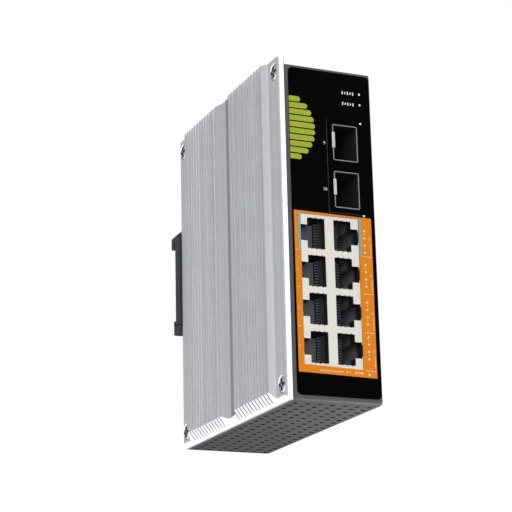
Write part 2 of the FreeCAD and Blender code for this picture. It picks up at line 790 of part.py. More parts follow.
def make_posts(name, start, end, places):
    """Hexagonal posts between two planes."""
    return group(name, [
        prism(f"{name}_{i}", "x", POST_SIDES, "post", f"({end}) - ({start})", (start, y, z))
        for i, (y, z) in enumerate(places)])


def make_board_screws(name, board_outer, inward, places):
    """Hexagon screws that clamp a board to its posts."""
    screws = []
    for i, (y, z) in enumerate(places):
        if inward == "+":
            head_start = f"{board_outer} - inner_head_height"
            shank_start = board_outer
        else:
            head_start = board_outer
            shank_start = f"{board_outer} - board"
        head = prism(f"{name}_{i}_head", "x", POST_SIDES, "inner_head", "inner_head_height",
                     (head_start, y, z))
        shank = prism(f"{name}_{i}_shank", "x", POST_SIDES, "screw_shank", "board",
                      (shank_start, y, z))
        screws.append(fuse(f"{name}_{i}", [head, shank]))
    return group(name, screws)


def make_board_link():
    """Stacking connector between the two boards."""
    return box("board_link", (BOARD_FACE, MODULE_BACK), ("48", "53"),
               ("module_board_foot + 9", "module_board_foot + 30"))


# Socket block

def socket_spaces(name, front, back):
    """Main opening and latch notch of every socket, between two depths."""
    spaces = []
    for row, centre in enumerate(port_centres()):
        tall = (f"{centre} - port_tall / 2", f"{centre} + port_tall / 2")
        notch = (f"{centre} - latch_tall / 2", f"{centre} + latch_tall / 2")
        columns = (("left", "port_left", f"port_left - latch_wide", "port_left"),
                   ("right", "port_right", "port_right + port_wide",
                    "port_right + port_wide + latch_wide"))
        for side, start, notch_low, notch_high in columns:
            label = f"{name}_{side}_{row}"
            main = box(label, (start, f"{start} + port_wide"), (front, back), tall)
            lap_low = notch_low if side == "left" else f"{notch_low} - 0.5"
            lap_high = f"{notch_high} + 0.5" if side == "left" else notch_high
            spaces += [main, box(label + "_latch", (lap_low, lap_high), (front, back), notch)]
    return spaces


def make_jack_shield():
    """Folded can round the socket block, open towards its board."""
    outer = box("shield_outer", (JACK_LEFT, JACK_RIGHT), ("0", "jack_deep"),
                (JACK_FOOT, JACK_TOP))
    inner = box("shield_inner", (f"{JACK_LEFT} - 1", f"{JACK_RIGHT} - can"),
                ("can", "jack_deep - can"), (f"{JACK_FOOT} + can", f"{JACK_TOP} - can"))
    return cut("jack_shield", outer, [inner] + socket_spaces("shield_port", "-1", "can * 2"))


def make_jack_housing():
    """Moulded block with the eight socket cavities."""
    block = box("housing_block", (JACK_LEFT, f"{JACK_RIGHT} - can"),
                ("can", "jack_deep - can"), (f"{JACK_FOOT} + can", f"{JACK_TOP} - can"))
    return cut("jack_housing", block, socket_spaces("cavity", "0", "port_deep"))


def make_jack_contacts():
    """Eight sprung wires in each socket, on the wall across from its latch notch."""
    wire, reach, run = size("contact_wire"), size("contact_reach"), size("contact_run")
    front, pitch, number = size("contact_front"), size("contact_pitch"), count("contact_count")
    walls = ((size("port_left") + size("port_wide"), -1), (size("port_right"), 1))
    wires = []
    for row in range(count("port_rows")):
        middle = size("port_foot") + row * size("port_pitch")
        for wall, inward in walls:
            low = wall + inward * (wire if inward < 0 else 0)
            tip = wall + inward * reach
            section = [V(wall, front, 0), V(tip, front + run, 0),
                       V(tip, front + run - wire, 0), V(wall + inward * wire, front, 0)]
            face = Part.Face(Part.makePolygon(section + section[:1]))
            for k in range(number):
                start = middle + (k - (number - 1) / 2) * pitch - wire / 2
                solid = face.extrude(V(0, 0, wire))
                wires.append(solid.translated(V(0, 0, start)))
    feature = doc.addObject("Part::Feature", "jack_contacts")
    feature.Shape = Part.makeCompound(wires)
    return feature


# Module cages

def make_cage(side, foot):
    """Sheet cage with an open front, a latch tongue and a slot over its connector."""
    name = f"sfp_cage_{side}"
    right, top = "cage_bottom + cage_wide", f"{foot} + cage_tall"
    outer = box(name + "_outer", ("cage_bottom", right), ("-cage_proud", "cage_deep"),
                (foot, top))
    inner = box(name + "_inner", ("cage_bottom + cage_wall", f"{right} - cage_wall"),
                ("-cage_proud - 1", "cage_deep - cage_wall"),
                (f"{foot} + cage_wall", f"{top} - cage_wall"))
    slot = box(name + "_slot", ("cage_bottom - 1", "cage_bottom + 2 * cage_wall"),
               ("cage_deep - 14.3", "cage_deep - 3.7"), (f"{foot} + 1.1", f"{top} - 1.1"))
    shell = cut(name + "_shell", outer, [inner, slot])
    middle = f"({foot} + cage_tall / 2)"
    tongue = box(name + "_tongue", ("cage_bottom + cage_wall", "cage_bottom + 2.5 * cage_wall"),
                 ("-cage_proud", "5"),
                 (f"{middle} - tongue_wide / 2", f"{middle} + tongue_wide / 2"))
    return fuse(name, [shell, tongue])


def make_cage_connectors():
    """Edge connectors on the module board at the back of the cages."""
    connectors = []
    for side, foot in cage_feet().items():
        name = f"sfp_connector_{side}"
        z = (f"{foot} + 1.5", f"{foot} + cage_tall - 1.5")
        block = box(name + "_block", (MODULE_FACE, "cage_bottom + 6.5"),
                    ("cage_deep - 14", "cage_deep - 4"), z)
        slot = box(name + "_slot", ("cage_bottom + 3.1", "cage_bottom + 4.5"),
                   ("cage_deep - 15", "cage_deep - 7"),
                   (f"{foot} + 2.6", f"{foot} + cage_tall - 2.6"))
        connectors.append(cut(name, block, [slot]))
    return group("sfp_connectors", connectors)


# Light pipes and diodes

def light_pipe(name, level, back, face):
    """Clear pipe from the front, turned down towards a board."""
    z = (f"{level} - pipe / 2", f"{level} + pipe / 2")
    x = ("pipe_line - pipe / 2", "pipe_line + pipe / 2")
    run = box(name + "_run", x, ("0", back), z)
    leg = box(name + "_leg", (f"{face} + diode + seat_gap", "pipe_line + pipe / 2"),
              (f"{back} - pipe", back), z)
    return [run, leg]


def make_port_light_pipes():
    """The pipes beside the sockets, joined by a bar into one moulding."""
    pieces = []
    for i, level in enumerate(port_pipe_levels()):
        pieces += light_pipe(f"port_pipe_{i}", level, "pipe_back", BOARD_FACE)
    levels = port_pipe_levels()
    pieces.append(box("port_pipe_bar", ("pipe_line - pipe / 2", "pipe_line + pipe / 2"),
                      ("pipe_back - 2 * pipe", "pipe_back - pipe / 2"),
                      (f"{levels[0]} - pipe / 2", f"{levels[-1]} + pipe / 2")))
    return fuse("port_light_pipes", pieces)


def make_status_light_pipes():
    """Five single pipes for the power, alarm and cage lights."""
    return group("status_light_pipes", [
        fuse(f"status_pipe_{i}", light_pipe(f"status_pipe_{i}", level, "short_pipe_back", face))
        for i, (level, face) in enumerate(status_pipe_levels())])


def make_diodes():
    """Surface-mounted light diodes under the ends of the pipes."""
    places = [(level, BOARD_FACE, "pipe_back") for level in port_pipe_levels()]
    places += [(level, face, "short_pipe_back") for level, face in status_pipe_levels()]
    return group("leds", [
        box(f"led_{i}", (face, f"{face} + diode"), (f"{back} - pipe", back),
            (f"{level} - pipe / 2", f"{level} + pipe / 2"))
        for i, (level, face, back) in enumerate(places)])


# Parts on the boards

def make_chips():
    """Chips on the plate side of the main board, and the pads that press them to the plate."""
    switch = box("switch_chip", ("board_gap - 1.3", "board_gap"), ("52", "72"), ("46", "66"))
    drivers = group("poe_chips", [
        box(f"poe_chip_{i}", ("board_gap - 1.3", "board_gap"), ("30", "39"), (low, high))
        for i, (low, high) in enumerate((("24", "33"), ("48", "57")))])
    pads = group("thermal_pads", [
        box("switch_pad", ("0", "board_gap - 1.3"), ("52.5", "71.5"), ("46.5", "65.5")),
        box("poe_pad_0", ("0", "board_gap - 1.3"), ("30.5", "38.5"), ("24.5", "32.5")),
        box("poe_pad_1", ("0", "board_gap - 1.3"), ("30.5", "38.5"), ("48.5", "56.5"))])
    return [switch, drivers, pads]


def make_magnetics():
    """One magnetics module behind each row of sockets."""
    return group("port_magnetics", [
        box(f"magnetics_{row}", (BOARD_FACE, f"{BOARD_FACE} + 5.6"), ("38.5", "48.5"),
            (f"{centre} - 6", f"{centre} + 6")) for row, centre in enumerate(port_centres())])


def make_power_parts():
    """Transformer, inductors and capacitors of the power stage."""
    core = box("transformer_core", (f"{BOARD_FACE} + 2", f"{BOARD_FACE} + 14"), ("56", "76"),
               ("20", "38"))
    base = box("transformer_base", (BOARD_FACE, f"{BOARD_FACE} + 2"), ("55", "77"), ("19", "39"))
    limb = box("transformer_winding", (f"{BOARD_FACE} + 3.5", f"{BOARD_FACE} + 12.5"),
               ("54", "78"), ("24", "34"))
    transformer = fuse("transformer", [core, base, limb])
    inductors = group("inductors", [
        prism(f"inductor_{i}", "x", HEAD_SIDES, "6", "8", (BOARD_FACE, "64", level))
        for i, level in enumerate(("50", "64"))])
    capacitors = []
    for i, (y, level) in enumerate((("84", "30"), ("84", "43"), ("84", "56"), ("84", "69"),
                                    ("70", "78"), ("70", "92"))):
        capacitors.append(prism(f"capacitor_{i}", "x", HEAD_SIDES, "5", "16",
                                (BOARD_FACE, y, level)))
    return [transformer, inductors, group("capacitors", capacitors)]


# Power socket and ground point

def make_terminal():
    """Pin header on the main board that opens through the top, and its pins."""
    top = "case_height + terminal_proud"
    left, right = BOARD_FACE, f"{BOARD_FACE} + terminal_wide"
    block = box("terminal_block", (left, right), ("terminal_start", TERMINAL_END),
                ("terminal_foot", top))
    inner_end = f"{TERMINAL_END} - terminal_wall"
    cavity = box("terminal_cavity", (f"{left} + terminal_wall", f"{right} - terminal_wall"),
                 ("terminal_start + terminal_wall", inner_end),
                 (f"{top} - terminal_deep", f"{top} + 1"))
    housing = cut("terminal_housing", block, [cavity])
    middle = f"({left} + terminal_wide / 2)"
    pins = group("terminal_pins", [
        box(f"terminal_pin_{i}", (f"{middle} - 0.5", f"{middle} + 0.5"),
            (f"terminal_start + terminal_wall + ({i} + 0.5) * terminal_pitch - 0.5",
             f"terminal_start + terminal_wall + ({i} + 0.5) * terminal_pitch + 0.5"),
            (f"{top} - terminal_deep", f"{top} - 2"))
        for i in range(count("terminal_count"))])
    return [housing, pins]


def make_ground_point():
    """Ground screw and its washer on the top."""
    at = ("ground_x", "ground_y", "case_height")
    disc = prism("ground_washer_disc", "z", HEAD_SIDES, "washer_radius", "washer", at)
    hole = prism("ground_washer_hole", "z", ROUND_SIDES, "ground_shank + gap", "washer", at)
    washer = cut("ground_washer", disc, [hole])
    seat = shift(at, "z", "+ washer")
    head = prism("ground_head", "z", HEAD_SIDES, "ground_head", "ground_head_height", seat)
    shank = prism("ground_thread", "z", ROUND_SIDES, "ground_shank", "ground_length",
                  shift(seat, "z", "- ground_length"))
    blank = fuse("ground_blank", [head, shank])
    screw = cut("ground_screw", blank,
                cross_recess("ground", "-z", shift(seat, "z", "+ ground_head_height")))
    return [washer, screw]


# Rail bracket with its sprung latch

def make_din_bracket():
    """Bracket on the back with a fixed upper hook and a channel for the latch."""
    body = new_body("din_bracket")
    side = new_sketch(body, "bracket_profile", "YZ", f"{MIDDLE_X} - bracket_wide / 2")
    hook_top = f"{RAIL_TOP} + rail_play + hook_height"
    outline(side, [
        ("case_depth", RAIL_FOOT), (SEAT, RAIL_FOOT), (SEAT, f"{RAIL_TOP} + rail_play"),
        (f"{SEAT} + rail_lip", f"{RAIL_TOP} + rail_play"),
        (f"{SEAT} + rail_lip", f"{RAIL_TOP} + rail_play - hook_lap"),
        (HOOK_BACK, f"{RAIL_TOP} + rail_play - hook_lap"),
        (HOOK_BACK, f"{hook_top} - bracket_chamfer"),
        (f"{HOOK_BACK} - bracket_chamfer", hook_top), ("case_depth", hook_top)])
    pad(body, side, "bracket_wide")

    channel = new_sketch(body, "latch_channel", "XZ", "-case_depth")
    half = "channel_wide / 2"
    peg = "spring_wide / 2"
    peg_foot = "(rail_middle + spring_foot - spring_peg)"
    outline(channel, [
        (f"{MIDDLE_X} - {half}", f"{RAIL_FOOT} - 1"), (f"{MIDDLE_X} + {half}", f"{RAIL_FOOT} - 1"),
        (f"{MIDDLE_X} + {half}", "rail_middle + channel_above"),
        (f"{MIDDLE_X} - {half}", "rail_middle + channel_above")])
    outline(channel, [
        (f"{MIDDLE_X} - {peg}", peg_foot), (f"{MIDDLE_X} + {peg}", peg_foot),
        (f"{MIDDLE_X} + {peg}", "rail_middle + spring_foot"),
        (f"{MIDDLE_X} - {peg}", "rail_middle + spring_foot")])
    pocket(body, channel, "channel_deep")

    corners = new_sketch(body, "bracket_corners", "XZ", f"-{HOOK_BACK} - 1")
    edges = (("-", f"{MIDDLE_X} - bracket_wide / 2"), ("+", f"{MIDDLE_X} + bracket_wide / 2"))
    for outward, edge in edges:
        inward = "-" if outward == "+" else "+"
        outline(corners, [
            (f"{edge} {inward} bracket_chamfer", hook_top), (edge, f"{hook_top} - bracket_chamfer"),
            (f"{edge} {outward} 1", f"{hook_top} - bracket_chamfer"),
            (f"{edge} {outward} 1", f"{hook_top} + 1"),
            (f"{edge} {inward} bracket_chamfer", f"{hook_top} + 1")])
    pocket(body, corners, f"{HOOK_BACK} - case_depth + 2", reverse=True)

    sinks = []
    for i, (x, z) in enumerate(bracket_screws()):
        shaft = prism(f"bracket_hole_{i}", "y", ROUND_SIDES, "screw_shank + fit",
                      "bracket_base", (x, "case_depth", z))
        sink = prism(f"bracket_sink_{i}", "y", HEAD_SIDES, "screw_head + fit", "screw_sink",
                     (x, f"{SEAT} - screw_sink", z))
        sinks += [shaft, sink]
    return cut("din_bracket_sunk", body, sinks)


def make_din_latch():
    """Sliding latch: a framed tongue in the channel and a foot with a nose behind the rail."""
    front = "case_depth + fit"
    back = "case_depth + fit + latch_thick"
    half = "channel_wide / 2 - 0.2"
    top = "rail_middle + latch_top"
    tongue = box("latch_tongue", (f"{MIDDLE_X} - ({half})", f"{MIDDLE_X} + ({half})"),
                 (front, back), (LATCH_FOOT_LOW, top))
    window = box("latch_window",
                 (f"{MIDDLE_X} - ({half}) + latch_side", f"{MIDDLE_X} + ({half}) - latch_side"),
                 ("case_depth", f"{back} + 1"),
                 (f"rail_middle + spring_foot - spring_peg - latch_travel - 1.5",
                  f"{top} - latch_bar"))
    foot = box("latch_foot_block",
               (f"{MIDDLE_X} - latch_foot_wide / 2", f"{MIDDLE_X} + latch_foot_wide / 2"),
               (front, NOSE_BACK), (LATCH_FOOT_LOW, LATCH_FOOT_TOP))
    nose = box("latch_nose",
               (f"{MIDDLE_X} - latch_foot_wide / 2", f"{MIDDLE_X} + latch_foot_wide / 2"),
               (f"{SEAT} + rail_lip", NOSE_BACK),
               (LATCH_FOOT_LOW, f"{RAIL_FOOT} + latch_grip"))
    return fuse("din_latch", [cut("latch_frame", tongue, [window]), foot, nose])


def make_latch_spring():
    """Serpentine spring between the bracket's peg and the latch's top bar."""
    legs = count("spring_turns")
    foot = "(rail_middle + spring_foot + fit)"
    step = f"((rail_middle + latch_top - latch_bar - fit - {foot} - spring_wire) / {legs})"
    left, right = f"({MIDDLE_X} - spring_wide / 2)", f"({MIDDLE_X} + spring_wide / 2)"
    back = ("case_depth + fit + 0.3", "case_depth + fit + 0.3 + spring_thick")
    bars = []
    for k in range(legs + 1):
        low = f"{foot} + {k} * {step}"
        bars.append(box(f"spring_leg_{k}", (left, right), back, (low, f"{low} + spring_wire")))
        if k < legs:
            turn = (left, f"{left} + spring_wire")
            if k % 2:
                turn = (f"{right} - spring_wire", right)
            bars.append(box(f"spring_turn_{k}", turn, back, (low, f"{low} + {step}")))
    return fuse("latch_spring", bars)


# Names of the finished pieces, and the object that holds each
pieces = {}


def keep(name, item):
    """Label a finished piece and move it from the case frame to the part frame."""
    if item.TypeId == "Part::Box":
        item = group(name + "_node", [item])
    if name != item.Label:
        for other in doc.Objects:
            if other is not item and other.Label == name:
                other.Label = name + "_blank"
        item.Label = name
    item.setExpression("Placement.Base.x", formula(f"-{MIDDLE_X}"))
    item.setExpression("Placement.Base.y", formula(f"-{MIDDLE_Y}"))
    pieces[name] = item


keep("front_wrap", make_front_wrap())
keep("rear_cover", make_rear_cover())
keep("heat_sink_plate", make_heat_sink_plate())
keep("plate_screws", make_plate_screws())
keep("cover_screws", make_cover_screws())
keep("front_overlay", make_front_overlay())
keep("main_board", make_main_board())
keep("sfp_board", make_module_board())
keep("board_posts", make_posts("board_posts", BOARD_FACE, "case_width - sheet",
                               main_board_posts()))
keep("board_screws", make_board_screws("board_screws", "board_gap", "+", main_board_posts()))
keep("sfp_posts", make_posts("sfp_posts", BOARD_FACE, MODULE_BACK, module_board_posts()))
keep("sfp_screws", make_board_screws("sfp_screws", MODULE_FACE, "-", module_board_posts()))
keep("board_link", make_board_link())
keep("jack_shield", make_jack_shield())
keep("jack_housing", make_jack_housing())
keep("jack_contacts", make_jack_contacts())
for side, foot in cage_feet().items():
    keep(f"sfp_cage_{side}", make_cage(side, foot))
keep("sfp_connectors", make_cage_connectors())
keep("port_light_pipes", make_port_light_pipes())
keep("status_light_pipes", make_status_light_pipes())
keep("leds", make_diodes())
for item in make_chips() + make_power_parts() + make_terminal() + make_ground_point():
    keep(item.Label, item)
keep("port_magnetics", make_magnetics())
keep("din_bracket", make_din_bracket())
keep("din_latch", make_din_latch())
keep("latch_spring", make_latch_spring())
keep("bracket_screws", make_bracket_screws())
keep("clinch_nuts", make_clinch_nuts())
doc.recompute()

# Every object has to be sound before anything is written
faults = [item.Label for item in doc.Objects
          if "Invalid" in item.State or "Error" in item.State]
faults += [name for name, item in pieces.items()
           if item.Shape.isNull() or not item.Shape.isValid()]
if faults:
    sys.exit("unsound: " + ", ".join(faults))

os.makedirs("parts", exist_ok=True)
for name, item in pieces.items():
    item.Shape.exportStep(f"parts/{name}.step")
    span = item.Shape.BoundBox
    print(f"{name:20s} solids {len(item.Shape.Solids):3d}  X {span.XMin:7.2f} {span.XMax:7.2f}"
          f"  Y {span.YMin:7.2f} {span.YMax:7.2f}  Z {span.ZMin:7.2f} {span.ZMax:7.2f}")
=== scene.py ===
"""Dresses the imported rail-mounted network switch: finishes, printed front and fine metalwork."""

import logging
import math
from dataclasses import dataclass, field, replace
from enum import Enum
from typing import Any, Iterable, Sequence

import bmesh
import bpy
from mathutils import Euler, Matrix, Vector


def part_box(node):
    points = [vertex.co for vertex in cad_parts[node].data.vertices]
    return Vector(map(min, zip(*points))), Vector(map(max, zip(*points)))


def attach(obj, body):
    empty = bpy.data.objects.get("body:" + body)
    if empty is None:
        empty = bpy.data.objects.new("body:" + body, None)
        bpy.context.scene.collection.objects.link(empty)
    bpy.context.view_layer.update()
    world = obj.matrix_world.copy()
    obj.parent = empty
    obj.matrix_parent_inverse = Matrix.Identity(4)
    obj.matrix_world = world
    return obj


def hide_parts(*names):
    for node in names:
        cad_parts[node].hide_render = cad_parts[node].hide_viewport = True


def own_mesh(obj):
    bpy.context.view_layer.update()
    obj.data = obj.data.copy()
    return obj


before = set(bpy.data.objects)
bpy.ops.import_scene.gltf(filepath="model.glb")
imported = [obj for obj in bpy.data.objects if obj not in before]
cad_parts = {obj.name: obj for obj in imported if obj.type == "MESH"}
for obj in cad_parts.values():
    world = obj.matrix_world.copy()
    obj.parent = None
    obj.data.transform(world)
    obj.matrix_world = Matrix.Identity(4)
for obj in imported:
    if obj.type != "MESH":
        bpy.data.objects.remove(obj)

logging.basicConfig(level=logging.INFO, format="%(levelname)s %(message)s")
LOG = logging.getLogger("switch")
MM = 0.001
CASE_BODY = "case"
CASE_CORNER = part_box("front_wrap")[0]
Point = tuple[float, float]
Triple = tuple[float, float, float]
UP = Vector((0, 0, 1))


class Side(Enum):
    """Column of sockets, by the wall that its latch notches face."""

    LEFT = -1
    RIGHT = 1


# Shared tools


def linear(code: str) -> tuple[float, float, float, float]:
    """Turns an sRGB hex value into a linear colour by the curve of that standard.

    Args:
        code: Colour as "#RRGGBB".

    Returns:
        Linear red, green and blue, and an alpha of 1.
    """
    parts = [int(code[i:i + 2], 16) / 255 for i in (1, 3, 5)]
    values = [p / 12.92 if p <= 0.04045 else ((p + 0.055) / 1.055) ** 2.4 for p in parts]
    return values[0], values[1], values[2], 1.0


def add_node(tree: bpy.types.NodeTree, kind: str, settings: dict[str, Any] | None = None,
             inputs: dict[Any, Any] | None = None) -> bpy.types.Node:
    """Adds a node with its settings and links.

    Args:
        tree: Node tree that takes the node.
        kind: Blender's name for the node.
        settings: Values for the node's own properties.
        inputs: Value or output socket for each input, by the input's name or number.

    Returns:
        The new node.
    """
    node = tree.nodes.new(kind)
    for name, value in (settings or {}).items():
        setattr(node, name, value)
    for name, value in (inputs or {}).items():
        if isinstance(value, bpy.types.NodeSocket):
            tree.links.new(value, node.inputs[name])
        else:
            node.inputs[name].default_value = value
    return node


def case_point(x: float, y: float, z: float) -> Vector:
    """Turns a place in the case frame into metres in the part frame.

    Args:
        x: Millimetres to the right of the joint between the plate and the case.
        y: Millimetres behind the front face.
        z: Millimetres above the underside.

    Returns:
        The same place in the part frame.
    """
    return CASE_CORNER + Vector((x, y, z)) * MM


def add_box(bm: bmesh.types.BMesh, x: Point, y: Point, z: Point, material: int = 0) -> None:
    """Adds a block to a mesh.

    Args:
        bm: Mesh that takes the block.
        x: Lowest and highest millimetre across the case.
        y: Lowest and highest millimetre behind the front.
        z: Lowest and highest millimetre above the underside.
        material: Material number of its faces.
    """
    spans = Vector((x[1] - x[0], y[1] - y[0], z[1] - z[0])) * MM
    middle = case_point(sum(x) / 2, sum(y) / 2, sum(z) / 2)
    made = bmesh.ops.create_cube(bm, size=1.0)["verts"]
    for vertex in made:
        vertex.co = middle + Vector([a * b for a, b in zip(vertex.co, spans)])
    for face in {f for vertex in made for f in vertex.link_faces}:
        face.material_index = material


def add_skin(bm: bmesh.types.BMesh, rings: Sequence[Sequence[bmesh.types.BMVert]],
             ends: bool = True) -> None:
    """Joins rings of corners with faces.

    Args:
        bm: Mesh that holds the rings.
        rings: Corners of each ring, as many in each.
        ends: Whether a face closes the first and the last ring, which otherwise join.
    """
    following = rings[1:] if ends else [*rings[1:], rings[0]]
    for one, two in zip(rings, following):
        for k in range(len(one)):
            after = (k + 1) % len(one)
            bm.faces.new((one[k], one[after], two[after], two[k]))
    if ends:
        bm.faces.new(rings[0][::-1])
        bm.faces.new(rings[-1])


def add_sweep(bm: bmesh.types.BMesh, path: Sequence[Vector], across: Vector, width: float,
              thick: float) -> None:
    """Adds a flat strip that follows a path in one plane.

    Args:
        bm: Mesh that takes the strip.
        path: Points in metres along the strip's middle.
        across: Unit direction of the strip's width.
        width: Width in millimetres.
        thick: Thickness in millimetres.
    """
    rings = []
    for i, place in enumerate(path):
        ahead = (path[min(i + 1, len(path) - 1)] - path[max(i - 1, 0)]).normalized()
        out = ahead.cross(across).normalized() * thick * MM / 2
        side = across * width * MM / 2
        rings.append([bm.verts.new(place + a * side + b * out)
                      for a, b in ((-1, -1), (1, -1), (1, 1), (-1, 1))])
    add_skin(bm, rings)


def take_mesh(curve: bpy.types.Curve) -> bmesh.types.BMesh:
    """Turns a curve or a text into a mesh and deletes it.

    Args:
        curve: Curve or text to turn.

    Returns:
        Its mesh.
    """
    holder = bpy.data.objects.new("outline", curve)
    mesh = bpy.data.meshes.new_from_object(holder)
    bm = bmesh.new()
    bm.from_mesh(mesh)
    bpy.data.meshes.remove(mesh)
    bpy.data.objects.remove(holder)
    bpy.data.curves.remove(curve)
    return bm


def stand_mesh(name: str, bm: bmesh.types.BMesh) -> bpy.types.Object:
    """Stands a mesh in the scene.

    Args:
        name: Name of the object and its mesh.
        bm: The mesh, which is freed.

    Returns:
        The new object.
    """
    mesh = bpy.data.meshes.new(name)
    bm.to_mesh(mesh)
    bm.free()
    made = bpy.data.objects.new(name, mesh)
    bpy.context.scene.collection.objects.link(made)
    return made


def flat_plate(outlines: Iterable[Sequence[Point]], front: float, back: float) -> bmesh.types.BMesh:
    """Makes an upright plate from closed outlines, of which inner ones are holes.

    Args:
        outlines: Lists of X and Z in millimetres.
        front: Y of its front face in millimetres.
        back: Y of its back face in millimetres.

    Returns:
        A mesh of the plate in the part frame.
    """
    curve = bpy.data.curves.new("outline", "CURVE")
    curve.dimensions = "2D"
    curve.fill_mode = "BOTH"
    curve.extrude = (back - front) * MM / 2
    for outline in outlines:
        spline = curve.splines.new("POLY")
        spline.points.add(len(outline) - 1)
        for point, (x, z) in zip(spline.points, outline):
            point.co = (x * MM, z * MM, 0, 1)
        spline.use_cyclic_u = True
    bm = take_mesh(curve)
    middle = (front + back) / 2 * MM
    turn = Matrix(((1, 0, 0, 0), (0, 0, -1, middle), (0, 1, 0, 0), (0, 0, 0, 1)))
    bm.transform(Matrix.Translation(CASE_CORNER) @ turn)
    bmesh.ops.remove_doubles(bm, verts=bm.verts, dist=1e-7)
    return bm


def rectangle(x: Point, z: Point) -> list[Point]:
    """Corners of an upright rectangle in millimetres."""
    return [(x[0], z[0]), (x[1], z[0]), (x[1], z[1]), (x[0], z[1])]


def disc(x: float, z: float, radius: float, sides: int = 20) -> list[Point]:
    """Corners of an upright disc in millimetres."""
    turns = [2 * math.pi * k / sides for k in range(sides)]
    return [(x + radius * math.cos(t), z + radius * math.sin(t)) for t in turns]


# Finishes


# Noise runs mostly between these values, so they are what a finish spreads over its range
NOISE_LOW, NOISE_HIGH = 0.3, 0.7
# How far the roughness strays to both sides with the grain
GLOSS_STRAY = 0.06
# Share of a relief that tilts the light
BUMP_STRENGTH = 0.7


@dataclass(frozen=True)
class Finish:
    """A real material and how its surface was made.

    Attributes:
        name: Material's name.
        color: Base colour as sRGB hex.
        roughness: Middle roughness.
        metallic: 1 for a bare metal, 0 for anything else, between them for a dulled metal.
        specular: Strength of the reflection of a surface that isn't metal.
        grain: Size of the surface grain in millimetres along X, Y and Z.
        mottle: How far the colour strays with the grain, from 0 to 1.
        relief: Depth of the grain in millimetres.
        edge: Radius in millimetres to which edges look rounded.
        coat: Strength of a clear layer on top.
    """

    name: str
    color: str
    roughness: float = 0.5
    metallic: float = 0.0
    specular: float = 0.5
    grain: Triple = (0.4, 0.4, 0.4)
    mottle: float = 0.08
    relief: float = 0.004
    edge: float = 0.0
    coat: float = 0.0

    def grain_texture(self, tree: bpy.types.NodeTree) -> bpy.types.Node:
        """Adds noise whose cells have the grain's size.

        Args:
            tree: Material's node tree.

        Returns:
            The noise.
        """
        place = add_node(tree, "ShaderNodeTexCoord")
        scale = tuple(1 / (size * MM) for size in self.grain)
        fit = add_node(tree, "ShaderNodeMapping", inputs={
            "Vector": place.outputs["Object"], "Scale": scale})
        return add_node(tree, "ShaderNodeTexNoise", inputs={
            "Vector": fit.outputs["Vector"], "Scale": 1.0, "Detail": 3.0, "Roughness": 0.6})

    def tint(self, tree: bpy.types.NodeTree, grain: bpy.types.Node) -> bpy.types.NodeSocket:
        """Makes the colour stray a little with the grain.

        Args:
            tree: Material's node tree.
            grain: Noise of the grain.

        Returns:
            The colour.
        """
        base = linear(self.color)
        ends = ((NOISE_LOW, 1 - self.mottle), (NOISE_HIGH, 1 + self.mottle))
        ramp = add_node(tree, "ShaderNodeValToRGB", inputs={"Fac": grain.outputs["Fac"]})
        for stop, (place, gain) in zip(ramp.color_ramp.elements, ends):
            stop.position = place
            stop.color = tuple(min(c * gain, 1.0) for c in base[:3]) + (1.0,)
        return ramp.outputs["Color"]

    def normal(self, tree: bpy.types.NodeTree, grain: bpy.types.Node) -> bpy.types.NodeSocket:
        """Lays the grain's relief over edges that look rounded.

        Args:
            tree: Material's node tree.
            grain: Noise of the grain.

        Returns:
            The direction of the surface.
        """
        inputs = {"Height": grain.outputs["Fac"], "Distance": self.relief * MM,
                  "Strength": BUMP_STRENGTH}
        if self.edge:
            round_off = add_node(tree, "ShaderNodeBevel", {"samples": 4},
                                 {"Radius": self.edge * MM})
            inputs["Normal"] = round_off.outputs["Normal"]
        return add_node(tree, "ShaderNodeBump", inputs=inputs).outputs["Normal"]

    def gloss(self, tree: bpy.types.NodeTree, grain: bpy.types.Node) -> bpy.types.NodeSocket:
        """Makes the roughness stray a little with the grain.

        Args:
            tree: Material's node tree.
            grain: Noise of the grain.

        Returns:
            The roughness.
        """
        return add_node(tree, "ShaderNodeMapRange", inputs={
            "Value": grain.outputs["Fac"], "From Min": NOISE_LOW, "From Max": NOISE_HIGH,
            "To Min": max(self.roughness - GLOSS_STRAY, 0.02),
            "To Max": min(self.roughness + GLOSS_STRAY, 1.0)}).outputs["Result"]

    def extra(self, shader: bpy.types.Node) -> None:
        """Sockets that only some finishes set."""

    def build(self) -> bpy.types.Material:
        """Makes the material, or finds it where it has been made.

        Returns:
            The material.
        """
        if self.name in bpy.data.materials:
            return bpy.data.materials[self.name]
        material = bpy.data.materials.new(self.name)
        material.use_nodes = True
        tree = material.node_tree
        tree.nodes.clear()
        grain = self.grain_texture(tree)
        shader = add_node(tree, "ShaderNodeBsdfPrincipled", inputs={
            "Base Color": self.tint(tree, grain), "Metallic": self.metallic,
            "Roughness": self.gloss(tree, grain), "Normal": self.normal(tree, grain),
            "Specular IOR Level": self.specular, "Coat Weight": self.coat})
        self.extra(shader)
        add_node(tree, "ShaderNodeOutputMaterial",
                 inputs={"Surface": shader.outputs["BSDF"]})
        material.diffuse_color = linear(self.color)
        return material


